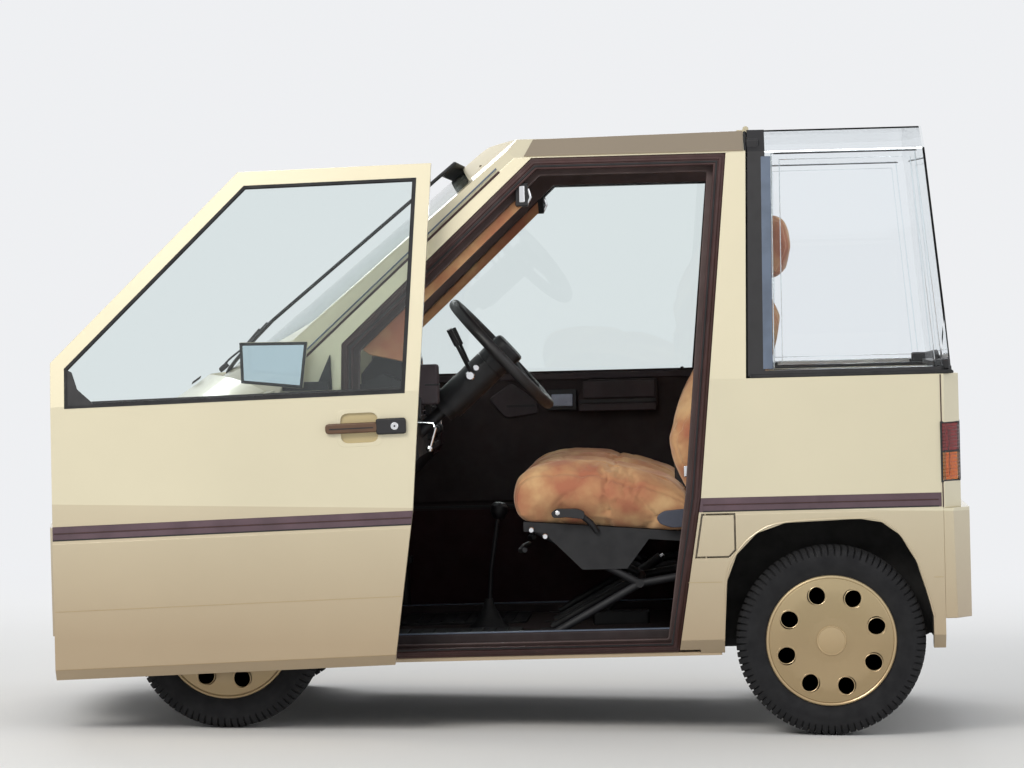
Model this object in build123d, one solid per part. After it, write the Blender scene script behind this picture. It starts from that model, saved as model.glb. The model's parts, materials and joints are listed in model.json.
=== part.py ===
from build123d import *
import os
from math import cos, hypot, radians, sin

# Two-seat city car, 2.5 m long, with one swing-sliding door stored open.
# Design frame, in millimetres: X forward from the rear axle, Y to the left, Z up from the ground.
# The body is drawn level and then leans nose down by RAKE, as the car stands. Wheels and axles don't lean.

RAKE = 2.0
WHEELBASE = 1604.0
WHEEL_RADIUS = 252.0
LOWER_HALF = 750.0
TYRE_WIDTH = 145.0
WHEEL_FACE_Y = LOWER_HALF - 13.0
TRACK_HALF = WHEEL_FACE_Y - TYRE_WIDTH / 2

# Body, in the level frame
TAIL_X = -362.0
NOSE_X = WHEELBASE + 486.0
CORNER_X = 50.0
CORNER_Y = 72.0
UPPER_HALF = LOWER_HALF - 6.0
BELT_HALF = LOWER_HALF - 12.0
RAIL_HALF = LOWER_HALF - 95.0
ROOF_HALF = LOWER_HALF - 152.0
SILL_HALF = LOWER_HALF - 46.0
SKIRT_HALF = LOWER_HALF - 12.0
UNDER_Z = 225.0
SKIRT_Z = 262.0
CREASE_Z = 415.0
STRIP_LOW_Z = 601.0
STRIP_HIGH_Z = 638.0
LEDGE = 8.0
BELT_Z = 952.0
RAIL_Z = 1553.0
ROOF_REAR_Z = 1611.0
ROOF_FRONT_Z = 1600.0
ROOF_FRONT_X = WHEELBASE - 841.0
ROOF_LIP_X = WHEELBASE - 718.0
ROOF_LIP_Z = 1594.0
SCREEN_TOP_X = WHEELBASE - 673.0
SCREEN_TOP_Z = 1573.0
SCREEN_FOOT_X = WHEELBASE + 46.0
SCREEN_FOOT_Z = 985.0
SCREEN_BOW = 80.0
SCREEN_BOW_AT_Y = 680.0
HOOD_REAR_X = WHEELBASE + 87.0
HOOD_REAR_Z = 990.0
HOOD_CORNER_X = WHEELBASE - 127.0
HOOD_CORNER_Y = LOWER_HALF - 50.0
HOOD_CORNER_Z = 949.0
HOOD_FRONT_X = WHEELBASE + 442.0
HOOD_FRONT_Z = 748.0
HOOD_FRONT_SIDE_Z = 735.0
NOSE_TOP_Z = 706.0
ROOF_END_X = 182.0
HOOD_HALF_REAR = LOWER_HALF - 53.0
HOOD_HALF_FRONT = LOWER_HALF - 210.0
HOOD_LOW_Z = NOSE_TOP_Z - 6
WELL_Z = 938.0
FOOT_SLOPE = 0.466

# Walls and gaps
WALL = 42.0
DOOR_WALL = 46.0
ROOF_WALL = 34.0
PANEL = 24.0
GLASS = 5.0
GLASS_INSET = 6.0
GAP = 5.0
FLOOR_THICK = 36.0

# Door outline, level frame
DOOR_TOP_Z = 1547.0
DOOR_BOTTOM_Z = 234.0
DOOR_REAR_TOP_X = 244.0
DOOR_REAR_STRIP_X = 332.0
DOOR_REAR_LOW_X = 398.0
DOOR_FRONT_X = WHEELBASE - 314.0
DOOR_FRONT_LEAN = 24.0
DOOR_SLOPE_TOP_X = WHEELBASE - 850.0
DOOR_SLOPE_LOW_Z = 1068.0
WINDOW_FRAME = 40.0
WINDOW_LOW_Z = 950.0

# Where the open door stands, from shut
OPEN_FORWARD = 749.0
OPEN_OUT = 165.0
OPEN_DROP = 7.0
OPEN_NOSE_DOWN = 1.2
OPEN_TOE_OUT = 1.5

# Bumpers
BUMPER_TOP_Z = 597.0
BUMPER_LOW_Z = 305.0
BUMPER_OUT = 22.0
BUMPER_WALL = 30.0

# Rear canopy, level frame
CANOPY_LOW_Z = 957.0
CANOPY_INSET = 6.0
CANOPY_TAIL_LOW_X = -344.0
CANOPY_TAIL_TOP_X = -283.0
CANOPY_CORNER_X = 40.0
CANOPY_CORNER_Y = 56.0
CANOPY_WALL = 6.0

# Lamps and grille
LAMP_LOW_Z = 667.0
LAMP_HIGH_Z = 823.0
FRONT_LAMP_LOW_Z = 612.0
FRONT_LAMP_HIGH_Z = 684.0
HEADLAMP_INNER_Y = 330.0
HEADLAMP_OUTER_Y = LOWER_HALF - 165.0

# Seats
SEAT_Y = 345.0
SEAT_WIDTH = 480.0
SEAT_REAR = (345.0, 540.0)
SEAT_FRONT = (826.0, 580.0)
CUSHION_TOP = [(838.0, 651.0), (812.0, 724.0), (745.0, 762.0), (600.0, 756.0), (470.0, 708.0), (345.0, 650.0)]
BACK_FRONT = [(300.0, 575.0), (345.0, 640.0), (404.0, 735.0), (412.0, 789.0), (385.0, 850.0), (321.0, 969.0),
              (222.0, 1165.0)]
BACK_REAR = [(170.0, 1192.0), (108.0, 1185.0), (135.0, 1034.0), (205.0, 800.0), (255.0, 640.0)]
BACK_TAPER_Z = 1010.0
HEADREST = [(98.0, 1212.0), (170.0, 1205.0), (180.0, 1290.0), (166.0, 1370.0), (120.0, 1397.0),
            (76.0, 1380.0), (60.0, 1310.0)]
HEADREST_HALF = 130.0
HEADREST_POST = (135.0, 1172.0, 1222.0)
BOLSTER_WIDE = 85.0
BOLSTER_HIGH = 22.0
RAIL_BAR = 26.0
SEAT_KNEE = (497.0, 405.0)
SEAT_PLATE_LOW_Z = 446.0

# Steering
STEERING_WHEEL_X = WHEELBASE - 742.0
STEERING_WHEEL_Z = 1028.0
STEERING_WHEEL_RADIUS = 185.0
STEERING_RIM_RADIUS = 14.0
COLUMN_ANGLE = 42.0

# Wheels and axles
RIM_RADIUS = 172.0
BEAD_RADIUS = 156.0
COVER_HOLES = 8
COVER_HOLE_RADIUS = 24.0
COVER_HOLE_CIRCLE = 125.0
COVER_HOLE_TURN = 17.9
STUB_RADIUS = 15.0
STUB_CLEARANCE = 0.05
FLAP_CLEARANCE = 0.09
KINGPIN_Y = LOWER_HALF - 130.0

# Towing eyes and jacking pads
EYE_RADIUS = 12.0
EYE_THICK = 12.0

STRIP_DEEP = 4.0
TRIM = 12.0
FRONT_ARCH_LOWER = 0.88
FRONT_ARCH_WIDER = 1.03
WING_END_X = WHEELBASE + 381.0
FOOT_FRONT_X = WHEELBASE - 4.0
RAIL_INNER_Y = LOWER_HALF - 160.0
FLAP_TOP_Z = 592.0
FLAP_FRONT_X = DOOR_REAR_STRIP_X - 9.0
FLAP_WIDE = 81.0
FLAP_HIGH = 108.0
FLAP_CHAMFER = 16.0
FLAP_PIN_X = FLAP_FRONT_X - 6.0
FLAP_PIN_Y = UPPER_HALF - 1.5
FLAP_PIN_RADIUS = 2.0
FLAP_POCKET = 32.0
SCREEN_EDGE = 26.0
SCREEN_LOW_HALF = LOWER_HALF - 60.0
SCREEN_TOP_HALF = LOWER_HALF - 130.0
SHELF_Z = 911.0
FRAME_FRONT = 52.0
FRAME_BACK = 72.0
FRAME_INWARD = 42.0
FRAME_OUTWARD = 20.0
GRILLE_HALF = 300.0
GRILLE_SLATS = 4
GRILLE_BAR = 7.0
TAIL_LAMP_Y = LOWER_HALF - 150.0
SILL_INNER_Y = LOWER_HALF - 160.0
SILL_TOP_Z = 258.0
HOUSE_REAR_Y = LOWER_HALF - 190.0
HOUSE_FRONT_Y = LOWER_HALF - 300.0
HOUSE_WALL = 8.0
REAR_FLOOR_Z = 430.0
FIREWALL_X = DOOR_FRONT_X + GAP
BUMPER_FRONT_X = WHEELBASE + 356.0
RAIL_WIDE = 50.0
RAIL_LOW_Z = 330.0
RAIL_HIGH = 80.0

HANDLE_RECESS = (411.0, 513.0, 820.0, 902.0)
TRIM_TOP_Z = WINDOW_LOW_Z + 12
ARMREST = [(452.0, 852.0), (684.0, 840.0), (684.0, 884.0), (652.0, 934.0), (452.0, 934.0)]
ARMREST_Y = LOWER_HALF - 104.0
PULL = [(690.0, 850.0), (772.0, 850.0), (772.0, 906.0), (690.0, 906.0)]
PULL_Y = LOWER_HALF - 74.0
ARM_X = WHEELBASE - 399.0
ARM_Y = LOWER_HALF - 118.0
ARM_RADIUS = 16.0
ARM_LEVELS = (800.0, 420.0)
FRAME_WIDE = 46.0
FRAME_HIGH = 14.0
FRAME_DEEP = 16.0
DASH_X = WHEELBASE - 524.0
DASH_HALF = LOWER_HALF - 150.0
BINNACLE_HALF = 165.0
AXLE_HALF = LOWER_HALF - 150.0
AXLE_RADIUS = 28.0
SPRING_Y = LOWER_HALF - 270.0
TRAIL_Y = LOWER_HALF - 370.0
EAR_REACH = 78.0
STRUT_Y = LOWER_HALF - 202.0
STRUT_TOP_Z = 560.0
CROSS_HALF = LOWER_HALF - 350.0
EYE_Y = LOWER_HALF - 320.0
FRONT_EYE_X = WHEELBASE + 386.0
FRONT_EYE_Z = BUMPER_LOW_Z - 20
REAR_EYE_X = TAIL_X + 62.0
REAR_EYE_Z = UNDER_Z - 20
KINGPIN_RADIUS = 10.0
MIRROR_PIVOT = (DOOR_FRONT_X + 27, LOWER_HALF - 5)
MIRROR_FACE_Y = LOWER_HALF + 52.0
MIRROR_DEEP = 50.0
MIRROR_LOW_Z = 958.0
MIRROR_OUTLINE = [(54.0, 956.0), (216.0, 974.0), (218.0, 1081.0), (38.0, 1079.0)]
TANK = (70.0, 270.0, -330.0, 330.0, 290.0)
PIPE_Y = -100.0
PIPE_Z = 199.0
PIPE_RADIUS = 16.0
SILENCER_X = -190.0
SILENCER_Z = 345.0

HINGE_PIN = 4.0
HINGE_BARREL = 8.0
CANOPY_HINGE = (ROOF_END_X + 1.5, ROOF_REAR_Z + 5.0)
CANOPY_HINGE_Y = ROOF_HALF - 58.0
HOOD_HINGE = (NOSE_X - 2.0, HOOD_LOW_Z - GAP / 2)
HOOD_HINGE_Y = 240.0
POST_SIDE_LOW = (SCREEN_TOP_X + 272, LOWER_HALF - 45, 1188.0)
POST_SIDE_HIGH = (SCREEN_TOP_X + 18, LOWER_HALF - 77, 1420.0)
POST_GLASS_LOW = (SCREEN_TOP_X + 348, LOWER_HALF - 80, 1188.0)

# Longer than the whole car, for cuts and limits
FAR = 3000.0


def inset(points, t):
    """The closed outline moved inward by t, given anticlockwise."""
    lines = []
    count = len(points)
    for i in range(count):
        (x0, z0), (x1, z1) = points[i], points[(i + 1) % count]
        length = hypot(x1 - x0, z1 - z0)
        nx, nz = -(z1 - z0) / length, (x1 - x0) / length
        lines.append((x0 + nx * t, z0 + nz * t, x1 - x0, z1 - z0))
    moved = []
    for i in range(count):
        ax, az, adx, adz = lines[i - 1]
        bx, bz, bdx, bdz = lines[i]
        cross = adx * bdz - adz * bdx
        s = ((bx - ax) * bdz - (bz - az) * bdx) / cross
        moved.append((ax + adx * s, az + adz * s))
    return moved


def flat(points, radius=0.0):
    """A face in the XY plane, with every corner rounded where a radius is given."""
    face = make_face(Polyline(*points, close=True))
    return fillet(face.vertices(), radius) if radius else face


def across(points, y0, y1, radius=0.0):
    """A side-view outline (x, z) as a solid from y0 to y1."""
    face = Pos(0, y0, 0) * (Plane.XZ * flat(points, radius))
    return extrude(face, amount=y0 - y1)


def along(points, x0, x1, radius=0.0):
    """A front-view outline (y, z) as a solid from x0 to x1."""
    face = Pos(x0, 0, 0) * (Plane.YZ * flat(points, radius))
    return extrude(face, amount=x1 - x0)


def upright(points, z0, z1, radius=0.0):
    """A plan outline (x, y) as a solid from z0 to z1."""
    return extrude(Pos(0, 0, z0) * flat(points, radius), amount=z1 - z0)


def block(x0, x1, y0, y1, z0, z1):
    return Pos((x0 + x1) / 2, (y0 + y1) / 2, (z0 + z1) / 2) * Box(x1 - x0, y1 - y0, z1 - z0)


def rod(start, end, radius):
    """A round bar from one point to another."""
    axis = Vector(*end) - Vector(*start)
    return extrude(Plane(origin=start, z_dir=axis) * Circle(radius), amount=axis.length)


def other_side(shape):
    return mirror(shape, about=Plane.XZ)


def both(shape):
    """The left piece and its mirror image, as one compound of two solids."""
    return Compound([*shape.solids(), *other_side(shape).solids()])


def bunch(*shapes):
    return Compound([solid for shape in shapes for solid in shape.solids()])


def to_level(x, z):
    """A point of the standing frame in the level frame of the body."""
    a = radians(RAKE)
    return x * cos(a) - z * sin(a), x * sin(a) + z * cos(a)


def leaning(shape):
    """From the level frame to the way the body stands."""
    return Rot(0, RAKE, 0) * shape


# Body envelope

SECTION = [
    (SILL_HALF, -100.0), (SILL_HALF, UNDER_Z), (SKIRT_HALF, SKIRT_Z), (UPPER_HALF, CREASE_Z),
    (LOWER_HALF, STRIP_LOW_Z - LEDGE), (UPPER_HALF, STRIP_LOW_Z), (BELT_HALF, BELT_Z),
    (RAIL_HALF, RAIL_Z), (ROOF_HALF, ROOF_FRONT_Z + 4), (0.0, ROOF_REAR_Z + 12),
]
LIP_SLOPE = (ROOF_LIP_Z - SCREEN_TOP_Z) / (SCREEN_TOP_X - ROOF_LIP_X)
SIDE_VIEW = [
    (TAIL_X, -100.0), (NOSE_X, -100.0), (NOSE_X, NOSE_TOP_Z), (HOOD_FRONT_X, HOOD_FRONT_Z + 4),
    (HOOD_FRONT_X, ROOF_LIP_Z - (HOOD_FRONT_X - ROOF_LIP_X) * LIP_SLOPE), (ROOF_LIP_X, ROOF_LIP_Z),
    (ROOF_FRONT_X, ROOF_REAR_Z - 3), (ROOF_END_X, ROOF_REAR_Z), (TAIL_X, ROOF_REAR_Z),
]
NOSE_BOW = [(NOSE_X - 190, LOWER_HALF), (NOSE_X - 100, LOWER_HALF - 34), (NOSE_X - 38, LOWER_HALF - 138),
            (NOSE_X, LOWER_HALF - 420)]


def mirrored(points):
    """Half an outline closed with its own mirror image in the first coordinate."""
    return points + [(-y, z) for y, z in reversed(points) if y > 0]


def plan_view(out=0.0):
    half = [(TAIL_X - out, -LOWER_HALF + CORNER_Y)]
    half += [(TAIL_X + CORNER_X - out / 2, -LOWER_HALF - out)]
    half += [(x + out * (x > NOSE_X - 90), -y - out) for x, y in NOSE_BOW[:-1]]
    half += [(NOSE_X + out, -NOSE_BOW[-1][1])]
    return half + [(x, -y) for x, y in reversed(half)]


def arc_radius(bow, half):
    return (half * half + bow * bow) / (2 * bow)


SCREEN_LENGTH = hypot(SCREEN_FOOT_X - SCREEN_TOP_X, SCREEN_TOP_Z - SCREEN_FOOT_Z)
DOWN_SCREEN = Vector(SCREEN_FOOT_X - SCREEN_TOP_X, 0, SCREEN_FOOT_Z - SCREEN_TOP_Z) / SCREEN_LENGTH
OFF_SCREEN = Vector(-DOWN_SCREEN.Z, 0, DOWN_SCREEN.X)
SCREEN_FOOT = Vector(SCREEN_FOOT_X, 0, SCREEN_FOOT_Z)


def under_screen(t):
    """Everything under the bowed windscreen, which is part of a cylinder."""
    radius = arc_radius(SCREEN_BOW, SCREEN_BOW_AT_Y)
    start = SCREEN_FOOT - OFF_SCREEN * radius - DOWN_SCREEN * FAR
    return extrude(Plane(origin=start, z_dir=DOWN_SCREEN) * Circle(radius - t), amount=2 * FAR)


def hood_section(x, middle_z, side_z, t):
    """A crowned section across the hood, flat at its sides and open to the ground."""
    drop = t * 1.15
    start, middle, end = (-HOOD_CORNER_Y, side_z - drop), (0, middle_z - drop), (HOOD_CORNER_Y, side_z - drop)
    crown = ThreePointArc(start, middle, end)
    edge, edge_z = HOOD_CORNER_Y + 80.0, side_z - drop - 14
    sides = Polyline(end, (edge, edge_z), (edge, -150.0), (-edge, -150.0), (-edge, edge_z), start)
    return Pos(x, 0, 0) * (Plane.YZ * make_face([crown, sides]))


def under_hood(t):
    """Everything under the hood, ahead of its bowed rear edge."""
    side_fall = (HOOD_CORNER_Z - HOOD_FRONT_SIDE_Z) / (HOOD_FRONT_X - HOOD_CORNER_X)
    middle_fall = (HOOD_REAR_Z - HOOD_FRONT_Z) / (HOOD_FRONT_X - HOOD_REAR_X)
    faces = []
    for x in (HOOD_CORNER_X - 60, NOSE_X + 20):
        middle_z = HOOD_REAR_Z - (x - HOOD_REAR_X) * middle_fall
        side_z = min(HOOD_CORNER_Z - (x - HOOD_CORNER_X) * side_fall, middle_z - 4)
        faces.append(hood_section(x, middle_z, side_z, t))
    return loft(faces, ruled=True) - behind_hood(t)


HOOD_ARC = arc_radius(HOOD_REAR_X - HOOD_CORNER_X, HOOD_CORNER_Y)


def behind_hood(grow=0.0, high=FAR):
    """A drum whose front is the bowed rear edge of the hood, moved forward by grow."""
    return Pos(HOOD_REAR_X - HOOD_ARC, 0, high - FAR) * Cylinder(HOOD_ARC + grow, 2 * FAR)


def screen_foot(t):
    """What the sloping foot under the windscreen leaves, t inside it."""
    rise = FAR / 2
    radius = HOOD_ARC - 6 - t * 1.1
    drum = Cone(radius + FOOT_SLOPE * rise, radius - FOOT_SLOPE * rise, 2 * rise)
    return Pos(HOOD_REAR_X - HOOD_ARC, 0, WELL_Z) * drum


def post_bevel(t):
    """What is bevelled off the left windscreen post, by a plane through three of its points."""
    low, high, glass = Vector(*POST_SIDE_LOW), Vector(*POST_SIDE_HIGH), Vector(*POST_GLASS_LOW)
    outward = (high - low).cross(glass - low).normalized()
    if outward.Y < 0:
        outward = -outward
    plane = Plane(origin=low - outward * t, x_dir=high - low, z_dir=outward)
    return extrude(plane * Rectangle(2600, 900), amount=600)


def envelope(t=0.0, out=0.0):
    """The outer form of the body, t inside its skin."""
    section = along(inset(mirrored(SECTION), t), -FAR, FAR)
    side = across(inset(SIDE_VIEW, t), -FAR, FAR)
    plan = upright(inset(plan_view(out), t), -200.0, FAR)
    body = section & side & plan
    bevel = post_bevel(t)
    cabin = (body & under_screen(t) & screen_foot(t)) - bevel - other_side(bevel)
    return cabin + (body & behind_hood(t, WELL_Z - t)) + (body & under_hood(t))


SKIN = envelope()
DEPTHS = (STRIP_DEEP, GLASS_INSET, GLASS_INSET + GLASS, PANEL, ROOF_WALL, DOOR_WALL - TRIM, WALL, DOOR_WALL,
          FRAME_FRONT, FRAME_BACK)
INNER = {t: envelope(t) for t in DEPTHS}


def wall(t, outer=0.0):
    """The skin of the body from outer to t inside its outer face."""
    return (INNER[outer] if outer else SKIN) - INNER[t]


# Outlines in side view

DOOR = [
    (DOOR_REAR_TOP_X, DOOR_TOP_Z), (DOOR_REAR_STRIP_X, STRIP_HIGH_Z), (DOOR_REAR_LOW_X, DOOR_BOTTOM_Z),
    (DOOR_FRONT_X, DOOR_BOTTOM_Z), (DOOR_FRONT_X - DOOR_FRONT_LEAN, DOOR_SLOPE_LOW_Z),
    (DOOR_SLOPE_TOP_X, DOOR_TOP_Z),
]


def door_outline(grow=0.0):
    return inset(DOOR, -grow)


def window_outline():
    """The clear part of the door's glass."""
    rear_top, rear_strip, low_rear, low_front, slope_low, slope_top = inset(DOOR, WINDOW_FRAME)
    rear = (rear_top[1] - WINDOW_LOW_Z) / (rear_top[1] - rear_strip[1])
    front = (slope_low[1] - WINDOW_LOW_Z) / (slope_low[1] - low_front[1])
    return [
        (rear_top[0] + (rear_strip[0] - rear_top[0]) * rear, WINDOW_LOW_Z),
        (slope_low[0] + (low_front[0] - slope_low[0]) * front, WINDOW_LOW_Z),
        slope_low, slope_top, rear_top,
    ]


def arch_outline(centre, points, high=1.0, wide=1.0, out=0.0):
    return inset([(centre[0] + x * wide, centre[1] + z * high) for x, z in points], -out)


ARCH = [
    (-274.0, -260.0), (282.0, -260.0), (282.0, 6.0), (272.0, 165.0), (245.0, 235.0), (191.0, 290.0),
    (114.0, 316.0), (-82.0, 322.0), (-139.0, 312.0), (-187.0, 277.0), (-229.0, 205.0), (-257.0, 115.0),
    (-271.0, 60.0),
]
REAR_HUB = to_level(0.0, WHEEL_RADIUS)
FRONT_HUB = to_level(WHEELBASE, WHEEL_RADIUS)
STEP_X = REAR_HUB[0] + 290
REAR_ARCH = arch_outline(REAR_HUB, ARCH)
FRONT_ARCH = arch_outline(FRONT_HUB, ARCH, FRONT_ARCH_LOWER, FRONT_ARCH_WIDER)
FLAP_REAR_X = FLAP_FRONT_X - FLAP_WIDE
FLAP_LOW_Z = FLAP_TOP_Z - FLAP_HIGH
FLAP_LEAN = FLAP_HIGH * (DOOR_REAR_LOW_X - DOOR_REAR_STRIP_X) / (STRIP_HIGH_Z - DOOR_BOTTOM_Z)
FLAP = [(FLAP_REAR_X, FLAP_TOP_Z), (FLAP_REAR_X, FLAP_LOW_Z + FLAP_CHAMFER),
        (FLAP_REAR_X + FLAP_CHAMFER, FLAP_LOW_Z), (FLAP_FRONT_X + FLAP_LEAN, FLAP_LOW_Z),
        (FLAP_FRONT_X, FLAP_TOP_Z)]


def strip_band():
    """The rubbing strips, let into the skin of both sides."""
    band = wall(STRIP_DEEP) & block(TAIL_X + CORNER_X + 4, WING_END_X, -FAR, FAR, STRIP_LOW_Z, STRIP_HIGH_Z)
    return band


# Body

def side_left():
    """Rear side wall, the post behind the door, the rail over it and the windscreen post, in one."""
    rear = [(TAIL_X + CORNER_X, UNDER_Z), (DOOR_REAR_LOW_X + 60, UNDER_Z), (DOOR_REAR_LOW_X + 60, BELT_Z),
            (TAIL_X + CORNER_X, BELT_Z)]
    top = [(ROOF_END_X + 18, BELT_Z), (FOOT_FRONT_X, BELT_Z), (FOOT_FRONT_X, FAR), (ROOF_END_X + 4, FAR),
           (ROOF_END_X + 4, RAIL_Z)]
    ring = wall(WALL) & (across(rear, 0, FAR) + (across(top, RAIL_INNER_Y, FAR) & behind_hood()))
    ring -= across(door_outline(GAP), 0, FAR)
    ring -= across(REAR_ARCH, 0, FAR)
    ring -= block(DOOR_REAR_LOW_X - 60, FAR, 0, FAR, -FAR, DOOR_BOTTOM_Z + 1)
    ring -= across(inset(FLAP, -GAP), UPPER_HALF - FLAP_POCKET, FAR)
    ring += flap_pin(FLAP_PIN_RADIUS, FLAP_HIGH + GAP, -GAP)
    ring -= windscreen_hole()
    ring -= strip_band()
    return ring


def windscreen_hole():
    """The hole between the windscreen posts, square to the glass."""
    plane = Plane(origin=SCREEN_FOOT, x_dir=(0, 1, 0), z_dir=OFF_SCREEN)
    sign = 1 if plane.y_dir.Z > 0 else -1
    low, high = -60.0 * sign, sign * (SCREEN_LENGTH - SCREEN_EDGE - 18)
    outline = [(-SCREEN_LOW_HALF, low), (SCREEN_LOW_HALF, low), (SCREEN_TOP_HALF, high),
               (-SCREEN_TOP_HALF, high)]
    hole = extrude(plane * flat(outline), amount=FAR, both=True) & block(0, FAR, -FAR, FAR, WELL_Z + 4, FAR)
    return hole & screen_foot(SCREEN_EDGE)


def windscreen():
    slab = wall(GLASS_INSET + GLASS, GLASS_INSET)
    return slab & windscreen_hole() & block(SCREEN_TOP_X, FAR, -FAR, FAR, WELL_Z, FAR)


def roof():
    panel = wall(ROOF_WALL) & block(ROOF_END_X + 4, SCREEN_TOP_X + 60, -RAIL_INNER_Y, RAIL_INNER_Y, 1400, FAR)
    for y in (-CANOPY_HINGE_Y, CANOPY_HINGE_Y):
        panel += hinge_ears(CANOPY_HINGE, y, 1)
    return panel - windscreen_hole()


def cowl():
    """The cross panel at the foot of the windscreen, between the two posts."""
    panel = wall(WALL) & block(FIREWALL_X, FAR, -RAIL_INNER_Y, RAIL_INNER_Y, 0, SCREEN_TOP_Z - 200)
    return (panel & behind_hood(-GAP)) - windscreen_hole()


def wing_left():
    lean_x = DOOR_FRONT_X - DOOR_FRONT_LEAN
    outline = [(DOOR_FRONT_X + GAP, UNDER_Z - 6), (BUMPER_FRONT_X, UNDER_Z - 6),
               (BUMPER_FRONT_X, BUMPER_TOP_Z), (WING_END_X, BUMPER_TOP_Z), (WING_END_X, FAR),
               (lean_x, FAR), (lean_x, DOOR_SLOPE_LOW_Z), (DOOR_FRONT_X + GAP, DOOR_BOTTOM_Z)]
    panel = wall(PANEL) & across(outline, 0, FAR)
    panel -= behind_hood() & block(0, FAR, -FAR, FAR, BELT_Z, FAR)
    panel -= behind_hood() & block(0, FAR, -FAR, RAIL_INNER_Y, 0, FAR)
    panel -= hood_zone(GAP)
    panel -= across(door_outline(GAP), 0, FAR)
    panel -= across(FRONT_ARCH, 0, FAR)
    return panel - strip_band()


def hood_zone(grow=0.0):
    """The upright space of the hood, ahead of its bowed rear edge and down to the nose."""
    taper = (HOOD_HALF_REAR - HOOD_HALF_FRONT) / (NOSE_X - HOOD_CORNER_X)
    points = []
    for x in (HOOD_CORNER_X - 100, NOSE_X + 100):
        points.append((x, HOOD_HALF_REAR - (x - HOOD_CORNER_X) * taper + grow))
    half = [(x, -y) for x, y in points]
    return upright(half + points[::-1], HOOD_LOW_Z - grow, FAR) - behind_hood(-grow)


def hinge_barrel(axis, y, side):
    """The moving half of a lid hinge, with its leaf on the side given."""
    x, z = axis
    barrel = rod((x, y - 16, z), (x, y + 16, z), HINGE_BARREL)
    x0, x1 = sorted((x + 5 * side, x + 24 * side))
    leaf = block(x0, x1, y - 16, y + 16, z - 18, z - 2)
    return (barrel + leaf) - rod((x, y - 40, z), (x, y + 40, z), HINGE_PIN + STUB_CLEARANCE)


def hinge_ears(axis, y, side):
    """The fixed half: a pin held by two ears."""
    x, z = axis
    x0, x1 = sorted((x, x + 24 * side))
    ears = rod((x, y - 30, z), (x, y + 30, z), HINGE_PIN)
    for edge in (y - 24, y + 24):
        ears += rod((x, edge - 6, z), (x, edge + 6, z), HINGE_BARREL)
        ears += block(x0, x1, edge - 6, edge + 6, z - 18, z - 2)
    return ears


def upright_leaf(axis, y, up):
    """A hinge leaf against the inside of the nose, above or below the axis."""
    x, z = axis
    z0, z1 = sorted((z, z + 22.0 * up))
    return block(x - 16, x - 1, y - 16, y + 16, z0, z1)


def hood():
    panel = wall(PANEL) & hood_zone()
    x, z = HOOD_HINGE
    for y in (-HOOD_HINGE_Y, HOOD_HINGE_Y):
        panel -= block(x - 10, FAR, y - 34, y + 34, z - 10, z + 10)
        barrel = rod((x, y - 16, z), (x, y + 16, z), HINGE_BARREL) + upright_leaf(HOOD_HINGE, y, 1)
        panel += barrel - rod((x, y - 40, z), (x, y + 40, z), HINGE_PIN + STUB_CLEARANCE)
    return panel


def nose_panel():
    panel = (wall(PANEL) & block(WING_END_X, FAR, -FAR, FAR, BUMPER_TOP_Z, FAR)) - hood_zone(GAP)
    for y0, y1 in ((HEADLAMP_INNER_Y, HEADLAMP_OUTER_Y), (-GRILLE_HALF, GRILLE_HALF),
                   (-HEADLAMP_OUTER_Y, -HEADLAMP_INNER_Y)):
        panel -= block(WING_END_X + 2, FAR, y0, y1, FRONT_LAMP_LOW_Z, FRONT_LAMP_HIGH_Z)
    x, z = HOOD_HINGE
    for y in (-HOOD_HINGE_Y, HOOD_HINGE_Y):
        panel -= block(x - 10, FAR, y - 34, y + 34, z - 10, z + 10)
        panel += rod((x, y - 30, z), (x, y + 30, z), HINGE_PIN)
        for edge in (-24, 24):
            panel += rod((x, y + edge - 6, z), (x, y + edge + 6, z), HINGE_BARREL)
            panel += block(x - 16, x - 1, y + edge - 6, y + edge + 6, z - 12, z)
    return panel


def headlamp_left():
    return wall(WALL) & block(WING_END_X + 2, FAR, HEADLAMP_INNER_Y, HEADLAMP_OUTER_Y, FRONT_LAMP_LOW_Z,
                              FRONT_LAMP_HIGH_Z)


def grille():
    """A frame with level slats."""
    opening = block(WING_END_X + 2, FAR, -GRILLE_HALF, GRILLE_HALF, FRONT_LAMP_LOW_Z, FRONT_LAMP_HIGH_Z)
    opening &= wall(PANEL)
    pitch = (FRONT_LAMP_HIGH_Z - FRONT_LAMP_LOW_Z - GRILLE_BAR) / GRILLE_SLATS
    for row in range(GRILLE_SLATS):
        z = FRONT_LAMP_LOW_Z + GRILLE_BAR + row * pitch
        opening -= block(0, FAR, -GRILLE_HALF + GRILLE_BAR, -GRILLE_BAR / 2, z, z + pitch - GRILLE_BAR)
        opening -= block(0, FAR, GRILLE_BAR / 2, GRILLE_HALF - GRILLE_BAR, z, z + pitch - GRILLE_BAR)
    return opening


def bumper(x0, x1):
    """A wrap-round bumper between two stations, outside the plan of the body."""
    section = along(mirrored(SECTION), -FAR, FAR)
    outer = section & upright(plan_view(BUMPER_OUT), BUMPER_LOW_Z, BUMPER_TOP_Z)
    outer -= section & upright(inset(plan_view(BUMPER_OUT), BUMPER_WALL + BUMPER_OUT), 0, FAR)
    return outer & block(x0, x1, -FAR, FAR, -FAR, FAR)


def tail_panel():
    panel = wall(WALL) & block(-FAR, TAIL_X + CORNER_X, -FAR, FAR, BUMPER_TOP_Z, BELT_Z)
    for y0, y1 in ((TAIL_LAMP_Y, FAR), (-FAR, -TAIL_LAMP_Y)):
        panel -= block(-FAR, TAIL_X + CORNER_X - 3, y0, y1, LAMP_LOW_Z, LAMP_HIGH_Z)
    return panel


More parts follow.
